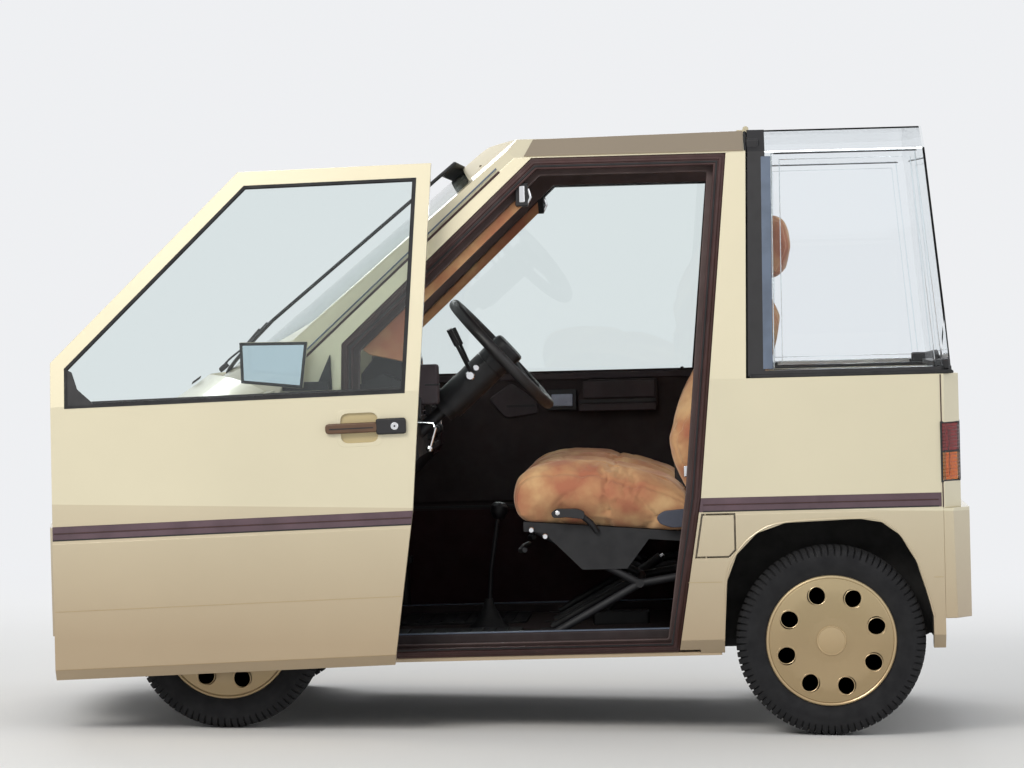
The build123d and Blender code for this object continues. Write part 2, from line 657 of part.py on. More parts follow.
def tail_lamp_left():
    return wall(WALL) & block(-FAR, TAIL_X + CORNER_X - 3, TAIL_LAMP_Y, FAR, LAMP_LOW_Z, LAMP_HIGH_Z)


def flap_pin(radius, low, high):
    """A round bar on the flap's hinge line, between two depths under its top edge."""
    x, y = FLAP_PIN_X, FLAP_PIN_Y
    return rod((x, y, FLAP_TOP_Z - low), (x, y, FLAP_TOP_Z - high), radius)


def fuel_flap():
    flap = (SKIN - INNER[STRIP_DEEP]) & across(FLAP, 0, FAR)
    flap += flap_pin(FLAP_PIN_RADIUS + 2.5, 75, 25)
    return flap - flap_pin(FLAP_PIN_RADIUS + FLAP_CLEARANCE, 2 * FLAP_HIGH, -FLAP_HIGH)


# Floor and inner structure

def sill_left():
    step = SILL_HALF - DOOR_WALL - GAP - 1
    outline = [(SILL_INNER_Y, UNDER_Z - 6), (SILL_HALF, UNDER_Z - 6), (SILL_HALF, DOOR_BOTTOM_Z - GAP),
               (step, DOOR_BOTTOM_Z - GAP), (step, SILL_TOP_Z), (SILL_INNER_Y, SILL_TOP_Z)]
    sill = along(outline, STEP_X, DOOR_FRONT_X + GAP)
    return sill - side_left()


def floor_pan():
    """The flat floor, the step up behind the seats and the higher floor over the rear axle."""
    low, high = UNDER_Z - 6, REAR_FLOOR_Z
    back = STEP_X + FLOOR_THICK
    pan = block(STEP_X, FIREWALL_X + PANEL, -SILL_INNER_Y, SILL_INNER_Y, low, low + FLOOR_THICK)
    rear = block(TAIL_X + WALL, back, -HOUSE_REAR_Y, HOUSE_REAR_Y, high, high + FLOOR_THICK)
    return pan + rear + block(STEP_X, back, -HOUSE_REAR_Y, HOUSE_REAR_Y, low, high)


def firewall():
    """The bulkhead behind the engine, and the shelf from its top to the foot of the windscreen."""
    panel = block(FIREWALL_X, FIREWALL_X + PANEL, -FAR, FAR, UNDER_Z - 6 + FLOOR_THICK, SHELF_Z)
    panel &= INNER[PANEL]
    for shape in (wheelhouse_front_left(), across(FRONT_ARCH, HOUSE_FRONT_Y, FAR)):
        panel -= shape
        panel -= other_side(shape)
    shelf = block(FIREWALL_X, FAR, -RAIL_INNER_Y, RAIL_INNER_Y, SHELF_Z, SHELF_Z + PANEL)
    return panel + (shelf & INNER[WALL] & behind_hood(-WALL))


def wheelhouse_rear_left():
    """The inner arch over the rear wheel, from the side wall inward."""
    outer = across(arch_outline(REAR_HUB, ARCH, out=HOUSE_WALL), HOUSE_REAR_Y, FAR)
    outer -= across(REAR_ARCH, HOUSE_REAR_Y + HOUSE_WALL, FAR)
    outer &= INNER[WALL] & block(TAIL_X + WALL, STEP_X, 0, FAR, UNDER_Z + 30, FAR)
    return outer - rod((REAR_HUB[0], 0, REAR_HUB[1]), (REAR_HUB[0], FAR, REAR_HUB[1]), AXLE_RADIUS + 22)


def wheelhouse_front_left():
    outline = arch_outline(FRONT_HUB, ARCH, FRONT_ARCH_LOWER, FRONT_ARCH_WIDER, HOUSE_WALL)
    outer = across(outline, HOUSE_FRONT_Y, FAR)
    outer -= across(FRONT_ARCH, HOUSE_FRONT_Y + HOUSE_WALL, FAR)
    outer &= INNER[PANEL] & block(FRONT_HUB[0] - 300, WING_END_X, 0, FAR, UNDER_Z + 30, FAR)
    x, z = FRONT_HUB
    outer -= block(x - 45, x + 45, 0, STRUT_Y, 0, z - EAR_REACH + 40)
    return outer - rail_front_left()


def rail_front_left():
    """Straight member beside the engine, from the firewall to the front bumper."""
    y = HOUSE_FRONT_Y
    return block(FIREWALL_X + PANEL, NOSE_X - 50, y - RAIL_WIDE, y, RAIL_LOW_Z, RAIL_LOW_Z + RAIL_HIGH)


# Doors

def door_shell_left():
    shell = wall(DOOR_WALL) & across(door_outline(), 0, FAR)
    shell -= across(window_outline(), 0, FAR)
    shell -= door_trim_left()
    recess = block(*HANDLE_RECESS[0:2], UPPER_HALF - 16, FAR, *HANDLE_RECESS[2:4])
    shell -= recess
    return shell - strip_band()


def door_trim_left():
    """The lining of the door, round its glass too, with the armrest and the pull's housing."""
    lining = wall(DOOR_WALL, DOOR_WALL - TRIM) & across(door_outline(-20), 0, FAR)
    lining -= across(window_outline(), 0, FAR) & block(-FAR, FAR, 0, FAR, TRIM_TOP_Z, FAR)
    for outline, face in ((ARMREST, ARMREST_Y), (PULL, PULL_Y)):
        lining += across(outline, face, FAR) & INNER[DOOR_WALL - TRIM]
    return lining


def door_frame_left():
    """The dark inner frame round the doorway, on the inside of the body."""
    wide = across(door_outline(FRAME_OUTWARD), 0, FAR)
    outside = (INNER[WALL] - INNER[FRAME_BACK]) & (wide - across(door_outline(GAP), 0, FAR))
    inside = (INNER[FRAME_FRONT] - INNER[FRAME_BACK]) & (wide - across(door_outline(-FRAME_INWARD), 0, FAR))
    return (outside + inside) & block(-FAR, FIREWALL_X, LOWER_HALF - 100, FAR, SILL_TOP_Z, FAR)


def door_glass_left():
    return wall(GLASS_INSET + GLASS, GLASS_INSET) & across(window_outline(), 0, FAR)


def door_handle_left():
    """Grip bar across the recess, and the lock block behind it."""
    x0, x1, z0, z1 = HANDLE_RECESS
    middle = (z0 + z1) / 2
    face = UPPER_HALF - 2
    bar = block(x0 + 20, x1 + 22, face, face + 9, middle - 8, middle + 8)
    lock = block(x0 - 38, x0 + 20, face, face + 12, middle - 20, middle + 20)
    foot = block(x1 + 4, x1 + 22, face - 3, face, middle - 8, middle + 8)
    piece = (bar + lock + foot) - INNER[STRIP_DEEP]
    return piece - (door_shell_left())


def opened(shape):
    """From shut to where the left door stands, slid forward beside the wing."""
    pivot = (DOOR_REAR_STRIP_X, LOWER_HALF, STRIP_HIGH_Z)
    turn = Pos(*pivot) * Rot(0, OPEN_NOSE_DOWN, OPEN_TOE_OUT) * Pos(*[-v for v in pivot])
    return Pos(OPEN_FORWARD, OPEN_OUT, -OPEN_DROP) * turn * shape


def both_doors(shape):
    """A piece of the left door where that stands open, and its twin on the shut right door."""
    return bunch(opened(shape), other_side(shape))


def door_strip_left():
    return strip_band() & across(door_outline(), 0, FAR)


def door_arms_left(opens=True):
    """The two swing arms that carry a door, from their post at the front of the opening."""
    post = rod((ARM_X, ARM_Y, SILL_TOP_Z), (ARM_X, ARM_Y, ARM_LEVELS[0] + 80), ARM_RADIUS)
    y0, y1, top = ARM_Y - ARM_RADIUS, ARM_Y + ARM_RADIUS, ARM_LEVELS[0]
    post += block(ARM_X, FIREWALL_X, y0, y1, top + 40, top + 70)
    for z in ARM_LEVELS:
        post += block(ARM_X - 22, ARM_X + 22, ARM_Y - 20, LOWER_HALF + OPEN_OUT - 25, z - 9, z + 9)
    if opens:
        return post - opened(wall(DOOR_WALL) & across(door_outline(), 0, FAR))
    return (post & block(0, FAR, 0, LOWER_HALF, 0, FAR)) & INNER[DOOR_WALL]


# Rear canopy

def canopy_solid(t):
    half, low = BELT_HALF - CANOPY_INSET, CANOPY_LOW_Z - 57
    section = [(half, low), (half, CANOPY_LOW_Z), (RAIL_HALF - 3, RAIL_Z), (ROOF_HALF, ROOF_REAR_Z),
               (0.0, ROOF_REAR_Z + 9)]
    side = [(CANOPY_TAIL_LOW_X - 5, low), (FAR, low), (FAR, FAR), (CANOPY_TAIL_TOP_X - 30, FAR),
            (CANOPY_TAIL_TOP_X, ROOF_REAR_Z + 9), (CANOPY_TAIL_LOW_X, CANOPY_LOW_Z)]
    tail = CANOPY_TAIL_LOW_X - 6
    corner = [(tail, -BELT_HALF + CANOPY_CORNER_Y), (tail + CANOPY_CORNER_X, -BELT_HALF), (FAR, -BELT_HALF),
              (FAR, BELT_HALF), (tail + CANOPY_CORNER_X, BELT_HALF), (tail, BELT_HALF - CANOPY_CORNER_Y)]
    solid = along(inset(mirrored(section), t), -FAR, FAR) & across(inset(side, t), -FAR, FAR)
    return solid & upright(inset(corner, t), 0, FAR)


def canopy_front(low=0.0, back=0.0):
    """Everything behind the canopy's front edge, raised by low and moved back."""
    x0, x1, z = ROOF_END_X + 13 - back, ROOF_END_X - 1 - back, CANOPY_LOW_Z + low
    return across([(-FAR, z), (x0, z), (x1, RAIL_Z), (x1, FAR), (-FAR, FAR)], -FAR, FAR)


def canopy_glass():
    return (canopy_solid(0.0) - canopy_solid(CANOPY_WALL)) & canopy_front(FRAME_HIGH, FRAME_WIDE)


def canopy_frame():
    """The dark frame: a hoop at the front edge and a rim along the belt."""
    shell = (canopy_solid(-1.5) - canopy_solid(FRAME_DEEP)) & canopy_front()
    shell -= canopy_front(FRAME_HIGH, FRAME_WIDE)
    x, z = CANOPY_HINGE
    for y in (-CANOPY_HINGE_Y, CANOPY_HINGE_Y):
        shell -= block(x - 14, FAR, y - 34, y + 34, z - 24, FAR)
        shell += hinge_barrel(CANOPY_HINGE, y, -1)
    return shell


# Mirrors

def mirror_housing(glass):
    """The folded left housing, or the glass in its recess; the glass looks outward."""
    outline = [(MIRROR_PIVOT[0] + x, z) for x, z in MIRROR_OUTLINE]
    if glass:
        return across(inset(outline, 8.0), MIRROR_FACE_Y - 4, MIRROR_FACE_Y - 1)
    face = Pos(0, MIRROR_FACE_Y, 0) * (Plane.XZ * flat(outline))
    back = Pos(0, MIRROR_FACE_Y - MIRROR_DEEP, 0) * (Plane.XZ * flat(inset(outline, 20.0)))
    body = loft([face, back], ruled=True) - across(inset(outline, 8.0), MIRROR_FACE_Y - 4, FAR)
    x, y = MIRROR_PIVOT
    return body + block(x - 12, x + 110, y - 10, y + 26, MIRROR_LOW_Z - 8, MIRROR_LOW_Z + 14)


def mirror_base():
    x = MIRROR_PIVOT[0] - 20
    low = MIRROR_LOW_Z - 8
    plate = across([(x, low), (x + 46, low), (x + 4, low + 92)], 0, LOWER_HALF - 4)
    return (plate & block(0, FAR, LOWER_HALF - 40, FAR, 0, FAR)) - SKIN


def unfolded(shape):
    """The right mirror as it stands for driving."""
    x, y = MIRROR_PIVOT
    return Pos(x, -y, 0) * Rot(0, 0, -80) * Pos(-x, y, 0) * other_side(shape)


# Cabin

def dash():
    """The padded board across the cabin, with the instrument hood in front of the driver."""
    board = [(DASH_X, 760.0), (DASH_X + 60, 690.0), (FIREWALL_X, 690.0), (FIREWALL_X, SHELF_Z + PANEL),
             (DASH_X + 90, 985.0), (DASH_X + 20, 955.0)]
    hood = [(DASH_X + 24, 930.0), (FIREWALL_X - 60, 930.0), (FIREWALL_X - 60, 985.0), (DASH_X + 110, 1042.0),
            (DASH_X + 10, 1034.0)]
    shape = across(board, -FAR, FAR) & INNER[WALL] & block(0, FAR, -DASH_HALF, DASH_HALF, 0, FAR)
    return shape + across(hood, SEAT_Y - BINNACLE_HALF, SEAT_Y + BINNACLE_HALF)


def seat_left():
    """Cushion between two raised bolsters, the backrest, and the headrest on its posts."""
    y0, y1 = SEAT_Y - SEAT_WIDTH / 2, SEAT_Y + SEAT_WIDTH / 2
    low = [(x, z - BOLSTER_HIGH * (z > 700)) for x, z in CUSHION_TOP]
    seat = across([SEAT_REAR, SEAT_FRONT] + low, y0 + BOLSTER_WIDE / 2, y1 - BOLSTER_WIDE / 2)
    for y in (y0, y1 - BOLSTER_WIDE):
        seat += across([SEAT_REAR, SEAT_FRONT] + CUSHION_TOP, y, y + BOLSTER_WIDE)
    shoulder = BACK_REAR[0][1] + 10
    taper = [(y0, SEAT_REAR[1]), (y1, SEAT_REAR[1]), (y1, BACK_TAPER_Z), (y1 - BOLSTER_WIDE / 2, shoulder),
             (y0 + BOLSTER_WIDE / 2, shoulder), (y0, BACK_TAPER_Z)]
    seat += across(BACK_FRONT + BACK_REAR, y0, y1) & along(taper, 0, FAR)
    seat += across(HEADREST, SEAT_Y - HEADREST_HALF, SEAT_Y + HEADREST_HALF)
    x, z0, z1 = HEADREST_POST
    for y in (SEAT_Y - HEADREST_HALF / 2, SEAT_Y + HEADREST_HALF / 2):
        seat += rod((x, y, z0), (x, y, z1), 7)
    return seat


def seat_line(x, drop=0.0):
    """A point on the sloping underside of the cushion, or that far below it."""
    (x0, z0), (x1, z1) = SEAT_REAR, SEAT_FRONT
    return x, z0 + (z1 - z0) * (x - x0) / (x1 - x0) - drop


def seat_frame_left():
    """Two sloping rails with side plates, on crossed struts that stand on the floor and on its step."""
    floor = UNDER_Z - 6 + FLOOR_THICK
    step = STEP_X + FLOOR_THICK
    inner, outer = SEAT_Y - SEAT_WIDTH / 2 + 25, SEAT_Y + SEAT_WIDTH / 2 - 25 - RAIL_BAR
    frame = None
    for y, face in ((inner, inner), (outer, outer + RAIL_BAR - 6)):
        middle = y + RAIL_BAR / 2
        bar = [seat_line(356, RAIL_BAR), seat_line(806, RAIL_BAR), seat_line(806), seat_line(356)]
        plate = [(530, SEAT_PLATE_LOW_Z), (650, SEAT_PLATE_LOW_Z), seat_line(752, RAIL_BAR),
                 seat_line(752, 2), seat_line(470, 2), seat_line(470, RAIL_BAR)]
        rail = across(bar, y, y + RAIL_BAR) + across(plate, face, face + 6)
        for (xa, za), (xb, zb) in ((seat_line(785, 14), SEAT_KNEE), (SEAT_KNEE, (step + 5, 432)),
                                   (SEAT_KNEE, (750, floor + 10))):
            rail += rod((xa, middle, za), (xb, middle, zb), 11)
        rail += block(720, 780, middle - 20, middle + 20, floor, floor + 8)
        rail += block(step, step + 8, middle - 20, middle + 20, 402, 462)
        frame = rail if frame is None else frame + rail
    for x, z in (SEAT_KNEE, seat_line(785, 14)):
        frame += rod((x, inner, z), (x, outer + RAIL_BAR, z), 11)
    return frame


def steering_plane():
    """The plane of the steering wheel, facing down its column."""
    a = radians(COLUMN_ANGLE)
    centre = (STEERING_WHEEL_X, SEAT_Y, STEERING_WHEEL_Z)
    return Plane(origin=centre, x_dir=(0, 1, 0), z_dir=(cos(a), 0, -sin(a)))


def steering_wheel():
    plane = steering_plane()
    rim = plane * Torus(STEERING_WHEEL_RADIUS - STEERING_RIM_RADIUS, STEERING_RIM_RADIUS)
    hub = plane * (Pos(0, 0, 22) * Cylinder(46, 44))
    wheel = rim + hub
    for turn in (0, 180, -90 * plane.y_dir.Z):
        wheel += plane * (Rot(0, 0, turn) * Pos(90, 0, 8) * Box(170, 30, 12))
    return wheel


def steering_column():
    """The column and its shroud, from behind the wheel to the firewall."""
    plane = steering_plane()
    shroud = extrude(plane.offset(44.3) * Circle(38), amount=180)
    tube = extrude(plane.offset(224.3) * Circle(18), amount=500)
    piece = shroud + tube
    return (piece & block(0, FIREWALL_X, -FAR, FAR, 0, FAR)) - dash()


# Running gear

def turned(points, y=0.0):
    """A wheel part: an outline (sideways, radius) spun about the wheel's axle."""
    face = make_face(Polyline(*[(s, r) for s, r in points], close=True))
    spun = revolve(face, Axis.X, 360)
    return Pos(0, y, 0) * Rot(0, 0, 90) * spun


def tyre():
    """Tread, shoulders, sidewalls and beads, hollow inside and open to the rim."""
    half, seat = TYRE_WIDTH / 2, TYRE_WIDTH / 2 - 16.5
    outer = [(seat, BEAD_RADIUS), (seat, RIM_RADIUS), (half, 205.0), (half - 5, 238.0),
             (half - 20, WHEEL_RADIUS)]
    inner = [(seat - 10, BEAD_RADIUS), (seat - 10, RIM_RADIUS), (half - 12, 208.0), (half - 16, 232.0),
             (half - 28, WHEEL_RADIUS - 12)]
    return turned([(-s, r) for s, r in outer] + outer[::-1] + inner + [(-s, r) for s, r in inner[::-1]])


def wheel():
    """Rim, disc and round-holed cover, with the bore for the axle; its face looks left."""
    well, flange = BEAD_RADIUS - 5, TYRE_WIDTH / 2 - 11.5
    rim = turned([(-flange, well), (flange, well), (flange, RIM_RADIUS), (flange - 5, RIM_RADIUS),
                  (flange - 5, BEAD_RADIUS), (5 - flange, BEAD_RADIUS), (5 - flange, RIM_RADIUS),
                  (-flange, RIM_RADIUS)])
    bore = STUB_RADIUS + STUB_CLEARANCE
    disc = turned([(0.0, bore), (40.0, bore), (40.0, 40.0), (30.0, 60.0), (30.0, well), (24.0, well),
                   (24.0, 60.0), (0.0, 44.0)])
    cover = turned([(66.0, 0.0), (66.0, 60.0), (71.0, 128.0), (67.0, 163.0), (flange, RIM_RADIUS),
                    (flange, BEAD_RADIUS), (66.0, 124.0), (61.0, 60.0), (61.0, 0.0)])
    for turn in range(COVER_HOLES):
        angle = radians(COVER_HOLE_TURN + 360.0 / COVER_HOLES * turn)
        hole = Pos(COVER_HOLE_CIRCLE * sin(angle), 70, COVER_HOLE_CIRCLE * cos(angle)) * Rot(90, 0, 0)
        cover -= hole * Cylinder(COVER_HOLE_RADIUS, 60)
    return rim + disc + cover


def at_hub(shape, hub):
    return Pos(hub[0], TRACK_HALF, hub[1]) * shape


def rear_axle():
    """A dead beam with a stub at each end, its trailing arms and spring seats."""
    x, z = REAR_HUB
    beam = rod((x, -AXLE_HALF, z), (x, AXLE_HALF, z), AXLE_RADIUS)
    beam += rod((x, -TRACK_HALF - 38, z), (x, TRACK_HALF + 38, z), STUB_RADIUS)
    for side in (-1, 1):
        arm = [(x - 20, z - 20), (x + 60, z - 24), (STEP_X, UNDER_Z - 6), (STEP_X, UNDER_Z + 40),
               (x - 20, z + 34)]
        beam += across(arm, side * TRAIL_Y - 22, side * TRAIL_Y + 22)
        beam += Pos(x, side * SPRING_Y, z + 34) * Cylinder(62, 8)
        beam += Pos(x, side * SPRING_Y, z + 20) * Cylinder(30, 30)
    return beam


def springs_rear():
    x, z = REAR_HUB
    low = z + 38
    high = REAR_FLOOR_Z - low
    return both(Pos(x, SPRING_Y, low + high / 2) * (Cylinder(55, high) - Cylinder(43, high)))


def front_suspension_left():
    """Lower arm, strut and the two ears with the kingpin, all on the body."""
    x, z = FRONT_HUB
    low, high = z - EAR_REACH, z + EAR_REACH
    strut = Pos(x, STRUT_Y, (low + STRUT_TOP_Z) / 2) * Cylinder(20, STRUT_TOP_Z - low)
    for level in (low, high):
        strut += block(x - 18, x + 18, STRUT_Y, KINGPIN_Y + 16, level - 7, level + 7)
    strut += rod((x, KINGPIN_Y, low), (x, KINGPIN_Y, high), KINGPIN_RADIUS)
    strut += block(x - 24, x + 24, CROSS_HALF, STRUT_Y, low - 7, low + 7)
    return strut


def knuckle_left():
    """The sleeve on the kingpin with the stub for the front wheel."""
    x, z = FRONT_HUB
    sleeve = Pos(x, KINGPIN_Y, z) * Cylinder(24, 2 * EAR_REACH - 14 - 1)
    stub = rod((x, KINGPIN_Y, z), (x, TRACK_HALF + 38, z), STUB_RADIUS)
    flange = rod((x, KINGPIN_Y, z), (x, TRACK_HALF - 6, z), 34)
    piece = sleeve + stub + flange
    return piece - Pos(x, KINGPIN_Y, z) * Cylinder(KINGPIN_RADIUS + STUB_CLEARANCE, 400)


def crossmember():
    x, z = FRONT_HUB
    level = z - EAR_REACH
    beam = block(x - 60, x + 60, -CROSS_HALF, CROSS_HALF, level - 30, level + 22)
    for side in (-1, 1):
        y0, y1 = sorted((side * (CROSS_HALF - 30), side * CROSS_HALF))
        beam += block(x - 30, x + 30, y0, y1, level + 22, RAIL_LOW_Z + RAIL_HIGH)
    return beam


def tow_eyes():
    """An eye under the front rail and one under the rear floor, each on a short plate."""
    eyes = []
    for x, z, top in ((FRONT_EYE_X, FRONT_EYE_Z, RAIL_LOW_Z), (REAR_EYE_X, REAR_EYE_Z, REAR_FLOOR_Z)):
        y = -EYE_Y
        plate = rod((x, y, z), (x, y + EYE_THICK, z), EYE_RADIUS * 2.2)
        plate += block(x - 22, x + 22, y, y + EYE_THICK, z, top)
        eyes.append(plate - rod((x, y - 50, z), (x, y + 50, z), EYE_RADIUS))
    return bunch(*eyes)


def exhaust():
    """The pipe under the floor, the silencer across the tail and its two hangers."""
    y, r = PIPE_Y, PIPE_RADIUS
    bends = [(FRONT_HUB[0] - 90, FRONT_HUB[1] - EAR_REACH + 24 + r), (FRONT_HUB[0] - 190, PIPE_Z),
             (-55.0, PIPE_Z), (SILENCER_X, SILENCER_Z)]
    pieces = [rod((a[0], y, a[1]), (b[0], y, b[1]), r) for a, b in zip(bends, bends[1:])]
    pieces += [Pos(x, y, z) * Sphere(r) for x, z in bends[1:3]]
    pieces.append(rod((SILENCER_X, y - 130, SILENCER_Z), (SILENCER_X, y + 250, SILENCER_Z), 58))
    pieces.append(rod((SILENCER_X, y - 90, SILENCER_Z - 40), (TAIL_X - 20, y - 90, BUMPER_LOW_Z - 28), r))
    pieces += [block(SILENCER_X - 15, SILENCER_X + 15, y + side - 4, y + side + 4, SILENCER_Z, REAR_FLOOR_Z)
               for side in (-80, 200)]
    whole = pieces[0]
    for piece in pieces[1:]:
        whole += piece
    return whole - engine()


def fuel_tank():
    x0, x1, y0, y1, z0 = TANK
    tank = block(x0, x1, y0, y1, z0, REAR_FLOOR_Z)
    return fillet(tank.faces().sort_by(Axis.Z)[0].edges(), 30)


def engine():
    x = FRONT_HUB[0]
    return block(x - 110, x + 210, -330, 190, FRONT_HUB[1] - EAR_REACH + 22, 760)


def all_nodes():
    nodes = {}

    def pair(name, shape):
        nodes[name + "_left"] = shape
        nodes[name + "_right"] = other_side(shape)

    pair("side", side_left())
    pair("wing", wing_left())
    nodes["roof"] = roof()
    nodes["windscreen"] = windscreen()
    nodes["cowl"] = cowl()
    nodes["hood"] = hood()
    nodes["nose_panel"] = nose_panel()
    nodes["headlamps"] = both(headlamp_left())
    nodes["grille"] = grille()
    nodes["bumper_front"] = bumper(BUMPER_FRONT_X, FAR)
    nodes["bumper_rear"] = bumper(-FAR, TAIL_X + CORNER_X)
    nodes["tail_panel"] = tail_panel()
    nodes["tail_lamps"] = both(tail_lamp_left())
    nodes["fuel_flap"] = fuel_flap()
    nodes["floor_pan"] = floor_pan()
    nodes["sills"] = both(sill_left())
    nodes["firewall"] = firewall()
    nodes["wheelhouses_rear"] = both(wheelhouse_rear_left())
    nodes["wheelhouses_front"] = both(wheelhouse_front_left())
    nodes["subframe"] = rail_front_left() + other_side(rail_front_left()) + crossmember()
    strips = strip_band() - across(door_outline(GAP), -FAR, FAR)
    nodes["side_strips"] = bunch(strips, both_doors(door_strip_left()))
    shell = door_shell_left()
    nodes["door_left"] = opened(shell)
    nodes["door_right"] = other_side(shell)
    nodes["door_glass"] = both_doors(door_glass_left())
    nodes["door_trims"] = both_doors(door_trim_left())
    nodes["door_handles"] = both_doors(door_handle_left())
    nodes["door_arms"] = bunch(door_arms_left(), other_side(door_arms_left(opens=False)))
    nodes["canopy_frame"] = canopy_frame()
    nodes["canopy_glass"] = canopy_glass() - nodes["canopy_frame"]
    nodes["door_frames"] = both(door_frame_left())
    nodes["dash"] = dash()
    pair("seat", seat_left())
    nodes["seat_frames"] = both(seat_frame_left())
    nodes["steering_wheel"] = steering_wheel()
    nodes["steering_column"] = steering_column()
    nodes["rear_axle"] = rear_axle() + springs_rear()
    nodes["front_suspension"] = both(front_suspension_left())
    pair("knuckle", knuckle_left())
    nodes["engine"] = engine()
    nodes["exhaust"] = exhaust()
    nodes["fuel_tank"] = fuel_tank()
    folded = (mirror_housing(False) + mirror_base()) - SKIN
    spread = (unfolded(mirror_housing(False)) + other_side(mirror_base())) - SKIN
    nodes["mirrors"] = bunch(folded, spread)
    nodes["mirror_glasses"] = bunch(mirror_housing(True), unfolded(mirror_housing(True)))
    nodes["tow_eyes"] = tow_eyes()
    for place, hub in (("rear", REAR_HUB), ("front", FRONT_HUB)):
        pair("tyre_" + place, at_hub(tyre(), hub))
        pair("wheel_" + place, at_hub(wheel(), hub))
    return nodes


def shift_of(nodes):
    """From the design frame to the frame whose origin is the bottom centre of the whole car."""
    boxes = [leaning(shape).bounding_box() for shape in nodes.values()]
    low = [min(getattr(b.min, k) for b in boxes) for k in "XYZ"]
    high = [max(getattr(b.max, k) for b in boxes) for k in "XYZ"]
    return -(low[0] + high[0]) / 2, -(low[1] + high[1]) / 2, -low[2]


NODES = all_nodes()
SHIFT = shift_of(NODES)
os.makedirs("parts", exist_ok=True)
print("shift", [round(v, 4) for v in SHIFT])
for node, shape in NODES.items():
    export_step(Pos(*SHIFT) * leaning(shape), f"parts/{node}.step")
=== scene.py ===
import bpy
import bmesh
import json
from math import atan2, cos, hypot, pi, radians, sin
from mathutils import Matrix, Vector


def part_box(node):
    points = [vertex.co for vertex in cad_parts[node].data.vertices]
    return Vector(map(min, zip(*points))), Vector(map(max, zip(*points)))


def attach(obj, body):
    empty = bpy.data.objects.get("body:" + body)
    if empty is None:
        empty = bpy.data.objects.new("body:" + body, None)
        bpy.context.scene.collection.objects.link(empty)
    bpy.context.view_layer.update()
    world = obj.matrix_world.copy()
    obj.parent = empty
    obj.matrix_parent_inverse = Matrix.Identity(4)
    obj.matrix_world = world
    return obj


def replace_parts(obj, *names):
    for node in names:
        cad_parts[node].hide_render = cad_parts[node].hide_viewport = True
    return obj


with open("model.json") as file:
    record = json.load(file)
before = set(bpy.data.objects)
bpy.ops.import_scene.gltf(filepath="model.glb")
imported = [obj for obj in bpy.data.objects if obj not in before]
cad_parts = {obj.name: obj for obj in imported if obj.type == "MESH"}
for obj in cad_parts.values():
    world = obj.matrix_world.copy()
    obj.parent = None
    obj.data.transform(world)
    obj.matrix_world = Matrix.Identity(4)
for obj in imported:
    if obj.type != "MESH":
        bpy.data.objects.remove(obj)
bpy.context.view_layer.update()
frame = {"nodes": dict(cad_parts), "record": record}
NODES = frame["nodes"]

# Places

RAKE = radians(2.0)


def middle(node):
    low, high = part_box(node)
    return (low + high) / 2


AXLE_X = middle("wheel_rear_left").x
CENTRE_Y = (middle("wheel_rear_left").y + middle("wheel_rear_right").y) / 2

# level millimetres (X forward from the rear axle, Y left, Z up) to the frame in metres
PLACE = Matrix.Translation((AXLE_X, CENTRE_Y, 0)) @ Matrix.Rotation(RAKE, 4, "Y") @ Matrix.Scale(0.001, 4)
PIVOT = Vector((332.0, 750.0, 638.0))
OPENED = (PLACE @ Matrix.Translation((749.0, 165.0, -7.0)) @ Matrix.Translation(PIVOT)
          @ Matrix.Rotation(radians(1.2), 4, "Y") @ Matrix.Rotation(radians(1.5), 4, "Z")
          @ Matrix.Translation(-PIVOT))
MIRRORED = PLACE @ Matrix.Scale(-1, 4, (0, 1, 0))

SECTION = [(225, 704), (262, 738), (415, 744), (593, 750), (601, 744), (952, 738), (1553, 655), (1604, 598)]


def side_y(z):
    """Half width of the body's side at that level height."""
    for (z0, y0), (z1, y1) in zip(SECTION, SECTION[1:]):
        if z <= z1:
            return y0 + (y1 - y0) * max(0.0, z - z0) / (z1 - z0)
    return SECTION[-1][1]


def inset(points, t):
    """A closed anticlockwise outline moved inward by t."""
    lines = []
    for (x0, z0), (x1, z1) in zip(points, points[1:] + points[:1]):
        length = hypot(x1 - x0, z1 - z0)
        nx, nz = -(z1 - z0) / length, (x1 - x0) / length
        lines.append((x0 + nx * t, z0 + nz * t, x1 - x0, z1 - z0))
    moved = []
    for i in range(len(lines)):
        ax, az, adx, adz = lines[i - 1]
        bx, bz, bdx, bdz = lines[i]
        cross = adx * bdz - adz * bdx
        s = ((bx - ax) * bdz - (bz - az) * bdx) / cross
        moved.append((ax + adx * s, az + adz * s))
    return moved


def rounded(points, radius, steps=5):
    """The closed outline with each corner replaced by a short arc."""
    out = []
    n = len(points)
    for i in range(n):
        p, a, b = Vector(points[i]), Vector(points[i - 1]), Vector(points[(i + 1) % n])
        da, db = (a - p), (b - p)
        r = min(radius, da.length * 0.45, db.length * 0.45)
        p0, p1 = p + da.normalized() * r, p + db.normalized() * r
        for k in range(steps + 1):
            t = k / steps
            out.append(tuple(p0 * (1 - t) ** 2 + p * 2 * t * (1 - t) + p1 * t * t))
    return out


# Materials

def rgb(r, g, b):
    """An sRGB colour of 0 to 255 as the linear one that a shader takes."""
    lin = [(v / 255 / 12.92) if v <= 10 else ((v / 255 + 0.055) / 1.055) ** 2.4 for v in (r, g, b)]
    return (*lin, 1.0)


